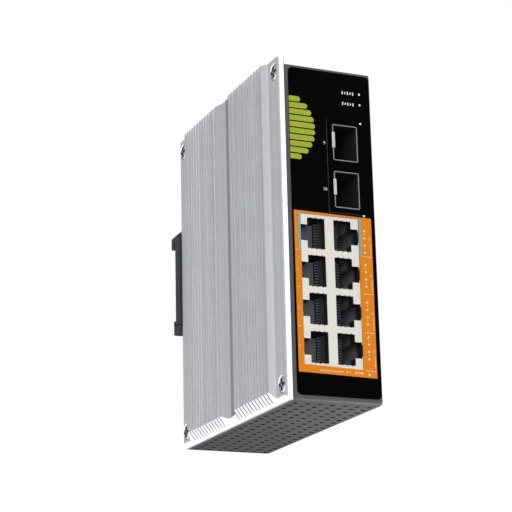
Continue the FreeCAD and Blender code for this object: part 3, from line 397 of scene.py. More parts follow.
@dataclass(frozen=True)
class DrawnMetal(Finish):
    """Metal drawn through a die or brushed one way: long fine streaks over broad soft ones.

    Attributes:
        broad: Size of the broad streaks in millimetres along X, Y and Z.
        broad_share: How far the broad streaks change the colour.
    """

    broad: Triple = (3.0, 3.0, 2000.0)
    broad_share: float = 0.06

    def tint(self, tree: bpy.types.NodeTree, grain: bpy.types.Node) -> bpy.types.NodeSocket:
        """Lays the broad streaks over the fine ones.

        Args:
            tree: Material's node tree.
            grain: Noise of the fine streaks.

        Returns:
            The colour.
        """
        fine = super().tint(tree, grain)
        place = add_node(tree, "ShaderNodeTexCoord")
        fit = add_node(tree, "ShaderNodeMapping", inputs={
            "Vector": place.outputs["Object"],
            "Scale": tuple(1 / (size * MM) for size in self.broad)})
        wide = add_node(tree, "ShaderNodeTexNoise", inputs={
            "Vector": fit.outputs["Vector"], "Scale": 1.0, "Detail": 2.0})
        gain = add_node(tree, "ShaderNodeMapRange", inputs={
            "Value": wide.outputs["Fac"], "From Min": NOISE_LOW, "From Max": NOISE_HIGH,
            "To Min": 1 - self.broad_share, "To Max": 1 + self.broad_share})
        return add_node(tree, "ShaderNodeVectorMath", {"operation": "SCALE"}, {
            0: fine, "Scale": gain.outputs["Result"]}).outputs["Vector"]


@dataclass(frozen=True)
class ClearMoulding(Finish):
    """Clear moulded plastic.

    Attributes:
        clear: Share of the light that goes through.
    """

    clear: float = 0.8

    def extra(self, shader: bpy.types.Node) -> None:
        """Lets most of the light through."""
        shader.inputs["Transmission Weight"].default_value = self.clear


@dataclass(frozen=True)
class FilmLayer(Finish):
    """Thin layer of the front's film, flat in colour and almost smooth."""

    roughness: float = 0.45
    specular: float = 0.2
    grain: Triple = (0.8, 0.8, 0.8)
    mottle: float = 0.02
    relief: float = 0.001


@dataclass(frozen=True)
class Moulding(Finish):
    """Nylon moulded in a tool whose fine texture it keeps."""

    roughness: float = 0.55
    specular: float = 0.3
    grain: Triple = (0.25, 0.25, 0.25)
    mottle: float = 0.10
    relief: float = 0.004


@dataclass(frozen=True)
class PaintedLightMoulding(Moulding):
    """Dark moulding with painted light: it turns paler with its depth behind the front, where the
    lamp's light falls on the inner walls.

    Attributes:
        inner: Colour of the deep part, with its painted light, as sRGB hex.
        start: Y in millimetres behind the front face where it starts to turn.
        end: Y in millimetres where it has turned.
    """

    inner: str = "#74777C"
    start: float = 3.2
    end: float = 5.5

    def tint(self, tree: bpy.types.NodeTree, grain: bpy.types.Node) -> bpy.types.NodeSocket:
        """Mixes both colours by depth, which paints the light on the deep walls.

        Args:
            tree: Material's node tree.
            grain: Noise of the grain.

        Returns:
            The colour.
        """
        place = add_node(tree, "ShaderNodeTexCoord")
        split = add_node(tree, "ShaderNodeSeparateXYZ", inputs={
            "Vector": place.outputs["Object"]})
        front = CASE_CORNER.y
        # Painted light: the paler colour takes over with depth behind the front
        share = add_node(tree, "ShaderNodeMapRange", inputs={
            "Value": split.outputs["Y"], "From Min": front + self.start * MM,
            "From Max": front + self.end * MM})
        return add_node(tree, "ShaderNodeMix", {"data_type": "RGBA"}, {
            0: share.outputs["Result"], 6: super().tint(tree, grain),
            7: linear(self.inner)}).outputs[2]


# Drawn aluminium, left bare: pale grey, with long streaks along the fins
ALUMINIUM = DrawnMetal("drawn_aluminium", "#EBEDF0", 0.42, 1.0, grain=(0.35, 0.35, 900.0),
                       mottle=0.04, relief=0.0006)
# The same plate, darker, as painted shade on the ramp's face in the corner behind its front fins
ALUMINIUM_PAINTED_SHADE = replace(ALUMINIUM, name="aluminium_painted_shade", color="#B0B2B5")
# Sheet steel under a fine powder coat: dark grey, satin, with a slight orange peel
POWDER_COAT = Finish("powder_coated_steel", "#565658", 0.55, specular=0.35,
                     grain=(0.3, 0.3, 0.3), mottle=0.10, relief=0.010, edge=0.15)
# Painted shade in the punched vents: near black, so that each vent reads as a dark hole
VENT_PAINTED_SHADE = Finish("vent_painted_shade", "#121214", 0.60, specular=0.2,
                      grain=(0.3, 0.3, 0.3), mottle=0.10)
# Polyester film printed black on its back: deep black under a smooth front
FILM = Finish("printed_polyester_film", "#040203", 0.22, specular=0.03,
              grain=(3.0, 3.0, 3.0), mottle=0.05, relief=0.001, edge=0.05)
# Screen-printed inks on that film: flat colours
INK_ORANGE = FilmLayer("orange_screen_ink", "#EE8B16")
INK_CYAN = FilmLayer("cyan_screen_ink", "#6FB6C2")
INK_GREEN = FilmLayer("yellow_green_screen_ink", "#A8B83A", mottle=0.03)
INK_WHITE = FilmLayer("white_screen_ink", "#E8E4DC")
INK_PALE = FilmLayer("pale_orange_screen_ink", "#F3CD9E")
INK_GREY = FilmLayer("grey_screen_ink", "#4A4849")
# Clear windows in the print over the light pipes: milky when unlit
LIGHT_WINDOW = FilmLayer("milky_film_window", "#F6E6C4", 0.30, specular=0.4)
# The same film over the single lights, clear of the orange ink and so whiter
WHITE_WINDOW = FilmLayer("white_film_window", "#F7F6F4", 0.30, specular=0.4)
# Tinned steel sheet, stamped: warm and pale, almost matt
TINNED = Finish("tinned_steel_sheet", "#F0EEE5", 0.50, 0.35, specular=0.3,
                grain=(1.5, 1.5, 1.5), mottle=0.03, relief=0.002, edge=0.05)
# Nylon of the sockets, moulded: near black at the mouth, with painted light that makes it paler
# deeper in
SOCKET_NYLON_PAINTED_LIGHT = PaintedLightMoulding("moulded_socket_nylon_painted_light", "#202226", specular=0.25)
# Black nylon of the combs that guide the contacts: satin and near black
COMB_NYLON = Moulding("moulded_comb_nylon", "#1D1D1C")
# Grey nylon of the teeth and of the guides beside the contacts: paler than the combs
GUIDE_NYLON = Moulding("moulded_guide_nylon", "#4A4C52")
# Contact wire, gold over nickel, near black all over with the socket's shade painted on it
CONTACT_GOLD_PAINTED_SHADE = Finish("gilt_contact_wire_painted_shade", "#2A2926", 0.40, 1.0,
                      grain=(0.3, 2.0, 0.3), mottle=0.06, relief=0.001)
# Sprung tongues of the cages: near white, a painted highlight over the nickel
NICKEL_PAINTED_HIGHLIGHT = Finish("nickel_tongue_painted_highlight", "#F7F7F7", 0.50, 0.2,
                       grain=(0.3, 0.3, 2.0), mottle=0.02, relief=0.001)
# Nickel-plated cage sheet, stamped and folded: a grey shine along the folds
NICKEL = Finish("nickel_plated_sheet", "#A9A9AB", 0.42, 1.0,
                grain=(0.6, 6.0, 0.6), mottle=0.05, relief=0.002, edge=0.04)
# The same sheet inside the cage, darkened as painted shade
NICKEL_PAINTED_SHADE = Finish("nickel_inside_painted_shade", "#3A3A3D", 0.50, 0.5, specular=0.2,
                       grain=(0.6, 6.0, 0.6), mottle=0.10, relief=0.002)
# Zinc-plated steel screws, cold headed: bright, with a slightly uneven shine
ZINC = Finish("zinc_plated_steel", "#E2E2E4", 0.30, 1.0, grain=(0.3, 0.3, 0.3),
              relief=0.003, edge=0.08)
# Painted shade of the driver recess of those screws
RECESS_PAINTED_SHADE = Finish("driver_recess_painted_shade", "#1C1C1E", 0.60, 0.5, grain=(0.3, 0.3, 0.3),
                      mottle=0.10, relief=0.003)
# Blackened steel screws: near black with a soft shine
BLACK_OXIDE = Finish("black_oxide_steel", "#2A2A2C", 0.42, 0.6, grain=(0.3, 0.3, 0.3),
                     mottle=0.10, relief=0.003, edge=0.08)
# Rail bracket, pressed steel under a black powder coat: satin, with a slight orange peel
BLACK_COAT = Finish("black_powder_coated_steel", "#2E2E31", 0.50, specular=0.4,
                    grain=(0.3, 0.3, 0.3), mottle=0.12, relief=0.010, edge=0.2)
# Spring steel drawn through a die: fine lines along the wire
SPRING_WIRE = Finish("drawn_spring_wire", "#9C9EA2", 0.30, 1.0, grain=(0.2, 0.2, 1.0),
                     mottle=0.06, relief=0.002)
# Solder mask over glass cloth: the cloth shows as a faint weave
SOLDER_MASK = Finish("green_solder_mask", "#1E4A32", 0.35, grain=(0.5, 0.5, 0.5),
                     mottle=0.15, coat=0.3)
# Brass posts turned on a lathe: yellow, with fine rings across them
TURNED_BRASS = Finish("turned_brass", "#C8A860", 0.30, 1.0, grain=(0.2, 3.0, 3.0),
                      mottle=0.06, relief=0.003)
# Black nylon of the connectors and magnetics: satin with soft edges
BLACK_MOULDING = Moulding("moulded_black_nylon", "#1C1C1E", specular=0.5, mottle=0.12,
                          relief=0.006, edge=0.1)
# Green polyamide of the pin header: satin, with edges that the tool leaves round
GREEN_MOULDING = Moulding("moulded_green_polyamide", "#2F7A3C", 0.50, specular=0.5,
                          mottle=0.08, relief=0.006, edge=0.12)
# Clear acrylic of the light pipes, moulded and glossy
CLEAR_ACRYLIC = ClearMoulding("moulded_clear_acrylic", "#E8EDF0", 0.08,
                              grain=(2.0, 2.0, 2.0), mottle=0.02, relief=0.001)
# Cast resin of the diodes: yellowish and glossy
DIODE_RESIN = Finish("clear_diode_resin", "#E6E2C8", 0.25, grain=(0.5, 0.5, 0.5),
                     mottle=0.04, relief=0.001)
# Filled epoxy that the chips are moulded in: almost black and matt
CHIP_EPOXY = Finish("moulded_chip_epoxy", "#17181A", 0.60, grain=(0.15, 0.15, 0.15),
                    mottle=0.12, edge=0.08)
# Filled silicone rubber of the thermal pads: grey and dead matt
THERMAL_RUBBER = Finish("cast_thermal_rubber", "#8A8F98", 0.80, mottle=0.10, relief=0.010)
# Sintered ferrite of the cores: dark grey, with a coarse grain
FERRITE = Finish("sintered_ferrite", "#2B2C2E", 0.65, grain=(0.3, 0.3, 0.3),
                 mottle=0.15, relief=0.012, edge=0.15)
# Sleeve shrunk over the capacitors: dark blue and glossy
SHRINK_SLEEVE = Finish("shrunk_capacitor_sleeve", "#1B2B45", 0.35, grain=(0.8, 0.8, 0.8),
                       mottle=0.06, edge=0.2)

# Finish of each solid that keeps its own shape
FRAME_FINISHES: dict[str, Finish] = {
    "front_wrap": POWDER_COAT, "rear_cover": POWDER_COAT,
    "cover_screws": BLACK_OXIDE, "bracket_screws": ZINC,
    "clinch_nuts": ZINC, "front_overlay": FILM, "main_board": SOLDER_MASK,
    "sfp_board": SOLDER_MASK, "board_posts": TURNED_BRASS, "sfp_posts": TURNED_BRASS,
    "board_screws": ZINC, "sfp_screws": ZINC, "board_link": BLACK_MOULDING,
    "jack_housing": SOCKET_NYLON_PAINTED_LIGHT, "sfp_connectors": BLACK_MOULDING,
    "port_light_pipes": CLEAR_ACRYLIC, "status_light_pipes": CLEAR_ACRYLIC,
    "leds": DIODE_RESIN, "switch_chip": CHIP_EPOXY, "poe_chips": CHIP_EPOXY,
    "thermal_pads": THERMAL_RUBBER, "port_magnetics": BLACK_MOULDING, "transformer": FERRITE,
    "inductors": FERRITE, "capacitors": SHRINK_SLEEVE, "terminal_housing": GREEN_MOULDING,
    "terminal_pins": ZINC, "ground_washer": ZINC, "ground_screw": ZINC,
    "din_bracket": BLACK_COAT, "din_latch": BLACK_COAT,
}


# Sub-assemblies


@dataclass
class SubAssembly:
    """Pieces that are made and dressed together.

    Attributes:
        body: Frame body that the pieces ride on.
        made: Pieces that have been made.
    """

    body: str = CASE_BODY
    made: list[bpy.types.Object] = field(default_factory=list)

    def piece(self, name: str, bm: bmesh.types.BMesh, finishes: Sequence[Finish], slot: str,
              replaces: Sequence[str] = (), smooth: bool = False) -> bpy.types.Object:
        """Turns a mesh into a piece of the part.

        Args:
            name: Piece's name.
            bm: Its mesh in the part frame, which is freed.
            finishes: Its finishes by material number.
            slot: Name of a material slot in the record; not used.
            replaces: Solids that it stands for.
            smooth: Whether its faces are shaded smooth.

        Returns:
            The new piece.
        """
        bmesh.ops.recalc_face_normals(bm, faces=bm.faces)
        for face in bm.faces:
            face.smooth = smooth
        made = stand_mesh(name, bm)
        for finish in finishes:
            made.data.materials.append(finish.build())
        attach(made, self.body)
        if replaces:
            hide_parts(*replaces)
        self.made.append(made)
        return made

    def build(self) -> None:
        """Makes every piece."""
        raise NotImplementedError

    def report(self) -> None:
        """Logs each piece with its face count."""
        for made in self.made:
            LOG.info("%s: %s, %d faces", type(self).__name__, made.name,
                     len(made.data.polygons))


@dataclass
class Frame(SubAssembly):
    """Solids of the frame that keep their shape and only take a finish."""

    def build(self) -> None:
        """Gives each solid its finish."""
        for name, finish in FRAME_FINISHES.items():
            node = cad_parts[name]
            node.data.materials.clear()
            node.data.materials.append(finish.build())
            self.made.append(node)


@dataclass
class FinnedPlate(SubAssembly):
    """Drawn left wall: deep grooves, sloped shoulders, a bevelled foot and sunk screws.

    Attributes:
        tip: X of the fin tips in millimetres.
        band: X of the flat bands.
        ramp: Corners of the ramp between the bands of fins, from its deep end.
        root: X of the floors of the grooves.
        corner: Radius of the outer corners.
        corner_steps: Facets of an outer corner.
        chamfer: Chamfer where the plate meets the front's sheet.
        depth: Plate along Y.
        height: Plate across Z.
        bevel_land: X where the bevel under the plate starts.
        bevel_height: Height at which the bevel meets the fin tips.
        shoulders: Y of the slopes between the end bands and the tips, as start and end.
        front_fins: Y of the first groove of the front band of fins.
        back_fins: Y of the first groove of the back band of fins.
        pitch: Groove to groove.
        mouth: Groove at the tips.
        floor: Groove at its floor.
        grooves: Grooves in each band of fins.
        open_floor: Floor of the groove that opens into the ramp, from its front wall.
        sharp: Degrees from which an edge isn't shaded smooth.
        screws: Y and Z of the screws.
        head: Radius of a screw's head.
        head_steps: Sides of a screw and of its hole.
        cross: Half width and reach of the arms of the driver cross.
        cross_span: Cross from its face of painted shade to its foot, from the flat bands.
        nib: Half of the bright square in the middle of the cross.
        nib_proud: How far that square stands out of the flat bands.
    """

    tip: float = -4.4
    band: float = -2.5
    ramp: tuple[Point, ...] = ((-3.4, 44.35), (-3.1, 48.8), (-3.2, 51.5), (-4.0, 54.5),
                               (-4.4, 55.7))
    root: float = -1.75
    corner: float = 2.2
    corner_steps: int = 6
    chamfer: float = 0.3
    depth: float = 101.0
    height: float = 128.0
    bevel_land: float = -1.1
    bevel_height: float = 4.4
    shoulders: tuple[Point, ...] = ((9.0, 11.4), (89.6, 92.0))
    front_fins: float = 13.0
    back_fins: float = 57.3
    pitch: float = 2.75
    mouth: float = 1.0
    floor: float = 0.7
    grooves: int = 12
    open_floor: Point = (0.15, 0.85)
    sharp: float = 20.0
    screws: tuple[Point, ...] = ((4.4, 6.0), (4.4, 123.0), (96.6, 6.0), (96.6, 123.0))
    head: float = 2.8
    head_steps: int = 32
    cross: Point = (0.62, 2.15)
    cross_span: Point = (-0.13, 0.9)
    nib: float = 0.35
    nib_proud: float = 0.16

    def groove(self, start: float) -> list[Point]:
        """Corners of one groove that starts at a Y."""
        inset = (self.mouth - self.floor) / 2
        return [(self.tip, start), (self.root, start + inset),
                (self.root, start + self.mouth - inset), (self.tip, start + self.mouth)]

    def section(self) -> list[Point]:
        """Draws the plate's section from its inner front corner.

        Returns:
            Corners as X and Y in millimetres.
        """
        (low_1, high_1), (high_2, low_2) = self.shoulders
        centre = self.band + self.corner
        turns = [math.pi / 2 * k / self.corner_steps for k in range(self.corner_steps + 1)]
        corner = [(centre - self.corner * math.sin(t), self.corner * (1 - math.cos(t)))
                  for t in turns]
        found = [(0.0, self.chamfer), (-self.chamfer, 0.0)]
        found += corner + [(self.band, low_1), (self.tip, high_1)]
        for k in range(self.grooves - 1):
            found += self.groove(self.front_fins + k * self.pitch)
        wall = self.front_fins + (self.grooves - 1) * self.pitch
        found += [(self.tip, wall), *((self.root, wall + y) for y in self.open_floor), *self.ramp]
        for k in range(self.grooves):
            found += self.groove(self.back_fins + k * self.pitch)
        found += [(self.tip, high_2), (self.band, low_2)]
        found += [(x, self.depth - y) for x, y in corner[::-1]]
        return found + [(0.0, self.depth)]

    def drawn(self) -> bmesh.types.BMesh:
        """Extrudes the section and cuts the bevel under it.

        Returns:
            A mesh of the plate without its holes.
        """
        bm = bmesh.new()
        section = self.section()
        rings = [[bm.verts.new(case_point(x, y, z)) for x, y in section]
                 for z in (0.0, self.height)]
        for i in range(len(section)):
            k = (i + 1) % len(section)
            face = bm.faces.new((rings[0][i], rings[0][k], rings[1][k], rings[1][i]))
            # Painted shade: the ramp's first face, behind the front fins, takes the darker
            # aluminium
            face.material_index = int(section[i] == self.ramp[0])
        for one in rings:
            bm.faces.new(one)
        across, up = self.bevel_land - self.tip, self.bevel_height
        cut = bmesh.ops.bisect_plane(
            bm, geom=list(bm.verts) + list(bm.edges) + list(bm.faces), clear_outer=True,
            plane_co=case_point(self.bevel_land, 0, 0), plane_no=Vector((-up, 0, -across)))
        edges = [item for item in cut["geom_cut"] if isinstance(item, bmesh.types.BMEdge)]
        bmesh.ops.triangle_fill(bm, edges=edges, use_beauty=True)
        # The holes are cut before the piece is made, and the cut needs faces that look outward
        bmesh.ops.recalc_face_normals(bm, faces=bm.faces)
        return bm

    def sinks(self) -> bmesh.types.BMesh:
        """Makes what is cut out for the screws: straight holes, each with a wider mouth.

        Returns:
            A mesh of all eight cones.
        """
        bm = bmesh.new()
        turn = Matrix.Rotation(math.radians(90), 4, "Y")
        # Start and end from the flat bands, and the room around the head at the end and the start
        cones = ((-0.35, 0.3, 0.2, 1.0), (0.0, 4.0, 0.2, 0.2))
        for y, z in self.screws:
            for start, end, narrow, wide in cones:
                middle = case_point(self.band + (start + end) / 2, y, z)
                bmesh.ops.create_cone(
                    bm, cap_ends=True, segments=self.head_steps, radius1=(self.head + wide) * MM,
                    radius2=(self.head + narrow) * MM, depth=(end - start) * MM,
                    matrix=Matrix.Translation(middle) @ turn)
        return bm

    def screw(self, bm: bmesh.types.BMesh, y: float, z: float) -> None:
        """Turns one screw with a domed head and sets a driver cross of painted shade in it.

        Args:
            bm: Mesh that takes the screw.
            y: Place behind the front in millimetres.
            z: Place above the underside in millimetres.
        """
        # Radius and height over the flat bands, from the middle of the dome to the tip
        profile = ((0.9, 0.1), (1.7, 0.02), (2.3, -0.14), (2.7, -0.4), (self.head, -0.7),
                   (self.head, -1.3), (1.5, -1.4), (1.5, -4.5))
        turns = [2 * math.pi * k / self.head_steps for k in range(self.head_steps)]
        add_skin(bm, [[bm.verts.new(case_point(
            self.band - out, y + radius * math.cos(t), z + radius * math.sin(t))) for t in turns]
            for radius, out in profile])
        # Driver cross of painted shade, a little proud of the dome so that it covers the middle
        arm, reach = self.cross
        face, foot = (self.band + x for x in self.cross_span)
        for half_y, half_z in ((arm, reach), (reach, arm)):
            add_box(bm, (face, foot), (y - half_y, y + half_y), (z - half_z, z + half_z), 1)
        add_box(bm, (self.band - self.nib_proud, foot), (y - self.nib, y + self.nib),
                (z - self.nib, z + self.nib))

    def build(self) -> None:
        """Makes the plate with its holes, and the four screws."""
        plate, sinks = stand_mesh("plate_blank", self.drawn()), stand_mesh("sinks", self.sinks())
        drill = plate.modifiers.new("drill", "BOOLEAN")
        drill.operation, drill.object, drill.solver = "DIFFERENCE", sinks, "EXACT"
        drill.use_self = True
        drilled = bmesh.new()
        drilled.from_mesh(bpy.data.meshes.new_from_object(
            plate.evaluated_get(bpy.context.evaluated_depsgraph_get())))
        for holder in (plate, sinks):
            mesh = holder.data
            bpy.data.objects.remove(holder)
            bpy.data.meshes.remove(mesh)
        made = self.piece("finned_plate", drilled, [ALUMINIUM, ALUMINIUM_PAINTED_SHADE],
                          "brushed_aluminium", ["heat_sink_plate"], smooth=True)
        made.data.set_sharp_from_angle(angle=math.radians(self.sharp))
        bm = bmesh.new()
        for y, z in self.screws:
            self.screw(bm, y, z)
        self.piece("plate_corner_screws", bm, [ZINC, RECESS_PAINTED_SHADE], "plated_screw",
                   ["plate_screws"])


@dataclass
class FilmPrint(SubAssembly):
    """What every print on the front film shares.

    Attributes:
        film: Y of the film's front in millimetres.
        ink: Thickness of an ink layer.
        row_middles: Heights of the middles of the rows of sockets, from the top.
    """

    film: float = -0.25
    ink: float = 0.03
    row_middles: tuple[float, ...] = (61.2, 47.23, 33.26, 19.29)

    def print_layer(self, name: str, outlines: Iterable[Sequence[Point]], finish: Finish,
                    level: int = 1) -> None:
        """Lays one ink on the film.

        Args:
            name: Piece's name.
            outlines: Closed outlines, of which inner ones are holes.
            finish: Ink.
            level: Ink layers under and including this one.
        """
        front = self.film - self.ink * level
        self.piece(name, flat_plate(outlines, front, self.film), [finish], "printed_film")


@dataclass
class FrontPrint(FilmPrint):
    """Inks, lip and light windows of the front film.

    Attributes:
        panel: Corners of the orange panel.
        opening_x: Left and right of the solid film's opening over the sockets.
        opening_z: Bottom and top of that opening.
        window: Corners of the printed window, a little smaller than that opening.
        cyan_wide: Width of the cyan strips.
        cyan_foot: Foot of the cyan strips.
        rule: Width of a rule.
        rules_left: X of the rules on the left edge.
        rows_left: Heights of those rules.
        rules_right: X of the rules on the right edge.
        rows_right: Heights of those rules.
        edge_x: Middle of the upright rules along the right edge.
        edge_span: Foot and top of an upright rule above the row's middle.
        light_steps: Lights of each row above the row's middle.
        light_x: Column of lights.
        light_count: Lights in a row.
        light_pitch: Spacing of the lights in a row.
        light_radius: Radius of a light beside a socket.
        tick: Half width and half height of a tick that joins two lights.
        tick_arm: Reach and half height of its arm.
        lone_radius: Radius of a single light.
        lone_lights: Places of the single lights.
    """

    panel: tuple[Point, ...] = ((2.12, 10.04), (32.71, 9.41), (32.82, 68.85), (1.98, 69.22))
    opening_x: Point = (4.45, 28.05)
    opening_z: Point = (12.21, 68.3)
    window: tuple[Point, ...] = ((4.47, 12.9), (27.45, 12.22), (27.6, 68.29), (4.47, 68.29))
    cyan_wide: float = 0.8
    cyan_foot: float = 54.5
    rule: float = 0.25
    rules_left: Point = (2.1, 3.6)
    rows_left: tuple[float, ...] = (54.43, 40.7, 26.49)
    rules_right: Point = (28.6, 32.5)
    rows_right: tuple[float, ...] = (54.23, 40.23, 25.91, 11.93)
    edge_x: float = 32.2
    edge_span: Point = (-6.2, -1.9)
    light_steps: tuple[float, ...] = (-1.4, -0.2, -0.2, 1.0)
    light_x: float = 29.85
    light_count: int = 4
    light_pitch: float = 2.7
    light_radius: float = 0.4
    tick: Point = (0.11, 0.5)
    tick_arm: Point = (0.6, 0.1)
    lone_radius: float = 0.42
    lone_lights: tuple[Point, ...] = ((30.02, 116.9), (30.05, 112.68), (30.05, 105.3),
                                      (30.0, 69.6), (29.7, 10.58))

    def lip(self) -> None:
        """Narrows the film's opening to the printed window."""
        outlines = [rectangle(self.opening_x, self.opening_z), self.window]
        self.piece("film_lip", flat_plate(outlines, self.film, 0.0), [FILM], "printed_film")

    def cyan_outlines(self) -> list[list[Point]]:
        """Draws the cyan strips beside the top row.

        Returns:
            Outline of each strip.
        """
        left, (right, high) = self.window[0][0], self.window[2]
        return [rectangle((start, start + self.cyan_wide), (self.cyan_foot, high))
                for start in (left - self.cyan_wide, right)]

    def rule_outlines(self) -> list[list[Point]]:
        """Draws the pale rules between the rows and along the right edge of the panel.

        Returns:
            Outline of each rule.
        """
        half, (foot, top) = self.rule / 2, self.edge_span
        found = [rectangle(self.rules_left, (z - half, z + half)) for z in self.rows_left]
        found += [rectangle(self.rules_right, (z - half, z + half)) for z in self.rows_right]
        return found + [rectangle((self.edge_x - half, self.edge_x + half),
                                  (middle + foot, middle + top)) for middle in self.row_middles]

    def tick_outlines(self) -> list[list[Point]]:
        """Draws the small pale ticks that join the lights of a socket in pairs.

        Returns:
            Outline of each tick and of its arm.
        """
        found = []
        (wide, tall), (reach, thin) = self.tick, self.tick_arm
        for middle, step in zip(self.row_middles, self.light_steps):
            for side in (-1, 1):
                z = middle + step + side * self.light_pitch
                found.append(rectangle((self.light_x - wide, self.light_x + wide),
                                       (z - tall, z + tall)))
                found.append(rectangle((self.light_x + wide, self.light_x + reach),
                                       (z - thin, z + thin)))
        return found

    def light_outlines(self) -> list[list[Point]]:
        """Draws the round windows of the lights beside the sockets.

        Returns:
            Outline of each window.
        """
        found = []
        for middle, step in zip(self.row_middles, self.light_steps):
            for k in range(self.light_count):
                z = middle + step + (k - (self.light_count - 1) / 2) * self.light_pitch
                found.append(disc(self.light_x, z, self.light_radius))
        return found

    def build(self) -> None:
        """Prints the inks and leaves the light windows."""
        self.lip()
        self.print_layer("orange_field", [self.panel, self.window], INK_ORANGE)
        self.print_layer("cyan_strips", self.cyan_outlines(), INK_CYAN, 2)
        self.print_layer("pale_rules", self.rule_outlines(), INK_PALE, 2)
        self.print_layer("light_brackets", self.tick_outlines(), INK_PALE, 2)
        self.print_layer("light_windows", self.light_outlines(), LIGHT_WINDOW, 3)
        self.print_layer("status_windows", [disc(x, z, self.lone_radius)
                                            for x, z in self.lone_lights], WHITE_WINDOW, 3)


@dataclass
class FrontMarks(FilmPrint):
    """Dashes, a line, bars and plain numbers on the front film.

    Attributes:
        dash_groups: First and last X of each group of dashes at the foot, and their half height.
        dash_z: Middle of those dashes.
        dash: Spacing and width of those dashes.
        dash_short: Share of the height under the middle that two dashes of three have.
        status_levels: Heights of the dashes beside the lights at the top.
        status_x: Where those dashes start.
        status_dash: Spacing and width of those dashes.
        status_tall: Half heights that they have by turns.
        status_count: Dashes at each level.
        line_x: Left and right end of the thin line beside the cages.
        line_z: Foot and top of that line.
        line: Its width.
        bars: Number of bars in the accent on the left edge.
        bars_x: Left end of the bars and the reach of the longest.
        bars_z: Middle and half height of the stack of bars.
        bar_fill: Share of its step that half a bar takes.
        bar_nose: Length and half height of a bar's chamfered end.
        numeral_size: Height of the type.
        numeral_drop: Foot of a numeral under the place that it is given.
        socket_numerals: X of the numerals beside the left and the right sockets.
        cage_numerals: Numeral of each cage with its place.
    """

    dash_groups: tuple[Triple, ...] = ((10.4, 19.5, 0.28), (20.6, 22.6, 0.28), (24.0, 27.4, 0.4))
    dash_z: float = 10.95
    dash: Point = (0.92, 0.6)
    dash_short: float = 0.7
    status_levels: Point = (116.75, 112.5)
    status_x: float = 22.9
    status_dash: Point = (1.06, 0.5)
    status_tall: Point = (0.62, 0.42)
    status_count: int = 5
    line_x: Point = (16.07, 29.0)
    line_z: Point = (69.73, 105.3)
    line: float = 0.14
    bars: int = 10
    bars_x: Point = (1.32, 10.2)
    bars_z: Point = (100.75, 12.35)
    bar_fill: float = 0.41
    bar_nose: Point = (0.6, 0.4)
    numeral_size: float = 1.75
    numeral_drop: float = 0.7
    socket_numerals: Point = (2.35, 31.4)
    cage_numerals: tuple[tuple[str, float, float], ...] = (("9", 14.6, 96.2), ("10", 13.9, 78.5))

    def dash_outlines(self) -> list[list[Point]]:
        """Draws the short dashes under the sockets.

        Returns:
            Outline of each dash.
        """
        found = []
        pitch, wide = self.dash
        for first, last, tall in self.dash_groups:
            steps = round((last - first) / pitch)
            for k in range(steps):
                start = first + (last - first) * k / steps
                under = tall * (self.dash_short if k % 3 else 1.0)
                found.append(rectangle((start, start + wide),
                                       (self.dash_z - under, self.dash_z + tall)))
        return found

    def status_outlines(self) -> list[list[Point]]:
        """Draws the dashes beside the two lights at the top.

        Returns:
            Outline of each dash.
        """
        found = []
        pitch, wide = self.status_dash
        for level in self.status_levels:
            for k in range(self.status_count):
                start, tall = self.status_x + pitch * k, self.status_tall[k % 2]
                found.append(rectangle((start, start + wide), (level - tall, level + tall)))
        return found

    def line_outlines(self) -> list[list[Point]]:
        """Draws the thin line beside the cages that turns to the light under them.

        Returns:
            Its one outline.
        """
        (left, right), (foot, top) = self.line_x, self.line_z
        return [[(left, top), (left, foot), (right, foot), (right, foot + self.line),
                 (left + self.line, foot + self.line), (left + self.line, top)]]

    def bar_outlines(self) -> list[list[Point]]:
        """Draws level bars whose ends follow a half ellipse.

        Returns:
            Outline of each bar.
        """
        (left, reach), (middle, tall), (nose, blunt) = self.bars_x, self.bars_z, self.bar_nose
        step = 2 * tall / self.bars
        found = []
        for k in range(self.bars):
            z = middle - tall + (k + 0.5) * step
            end = left + reach * math.sqrt(max(1 - ((z - middle) / tall) ** 2, 0))
            low, high = z - step * self.bar_fill, z + step * self.bar_fill
            found.append([(left, low), (end - nose, low), (end, z - blunt), (end, z + blunt),
                          (end - nose, high), (left, high)])
        return found

    def numeral(self, text: str, x: float, z: float, finish: Finish) -> None:
        """Prints one plain number.

        Args:
            text: The number.
            x: Its left end in millimetres.
            z: Height of its middle in millimetres.
            finish: Ink.
        """
        curve = bpy.data.curves.new("numeral", "FONT")
        curve.body = text
        curve.size = self.numeral_size * MM
        curve.extrude = self.ink * MM
        curve.resolution_u = 3
        bm = take_mesh(curve)
        place = Matrix.Translation(case_point(x, self.film - self.ink, z - self.numeral_drop))
        bm.transform(place @ Matrix.Rotation(math.radians(90), 4, "X"))
        self.piece(f"numeral_{text}", bm, [finish], "printed_film")

    def build(self) -> None:
        """Prints the marks."""
        self.print_layer("foot_dashes", self.dash_outlines(), INK_PALE, 2)
        self.print_layer("status_dashes", self.status_outlines(), INK_WHITE)
        self.print_layer("cage_line", self.line_outlines(), INK_GREY)
        self.print_layer("accent_bars", self.bar_outlines(), INK_GREEN)
        for row, middle in enumerate(self.row_middles):
            for column, x in enumerate(self.socket_numerals, 1):
                self.numeral(str(2 * row + column), x, middle, INK_PALE)
        for text, x, z in self.cage_numerals:
            self.numeral(text, x, z, INK_WHITE)


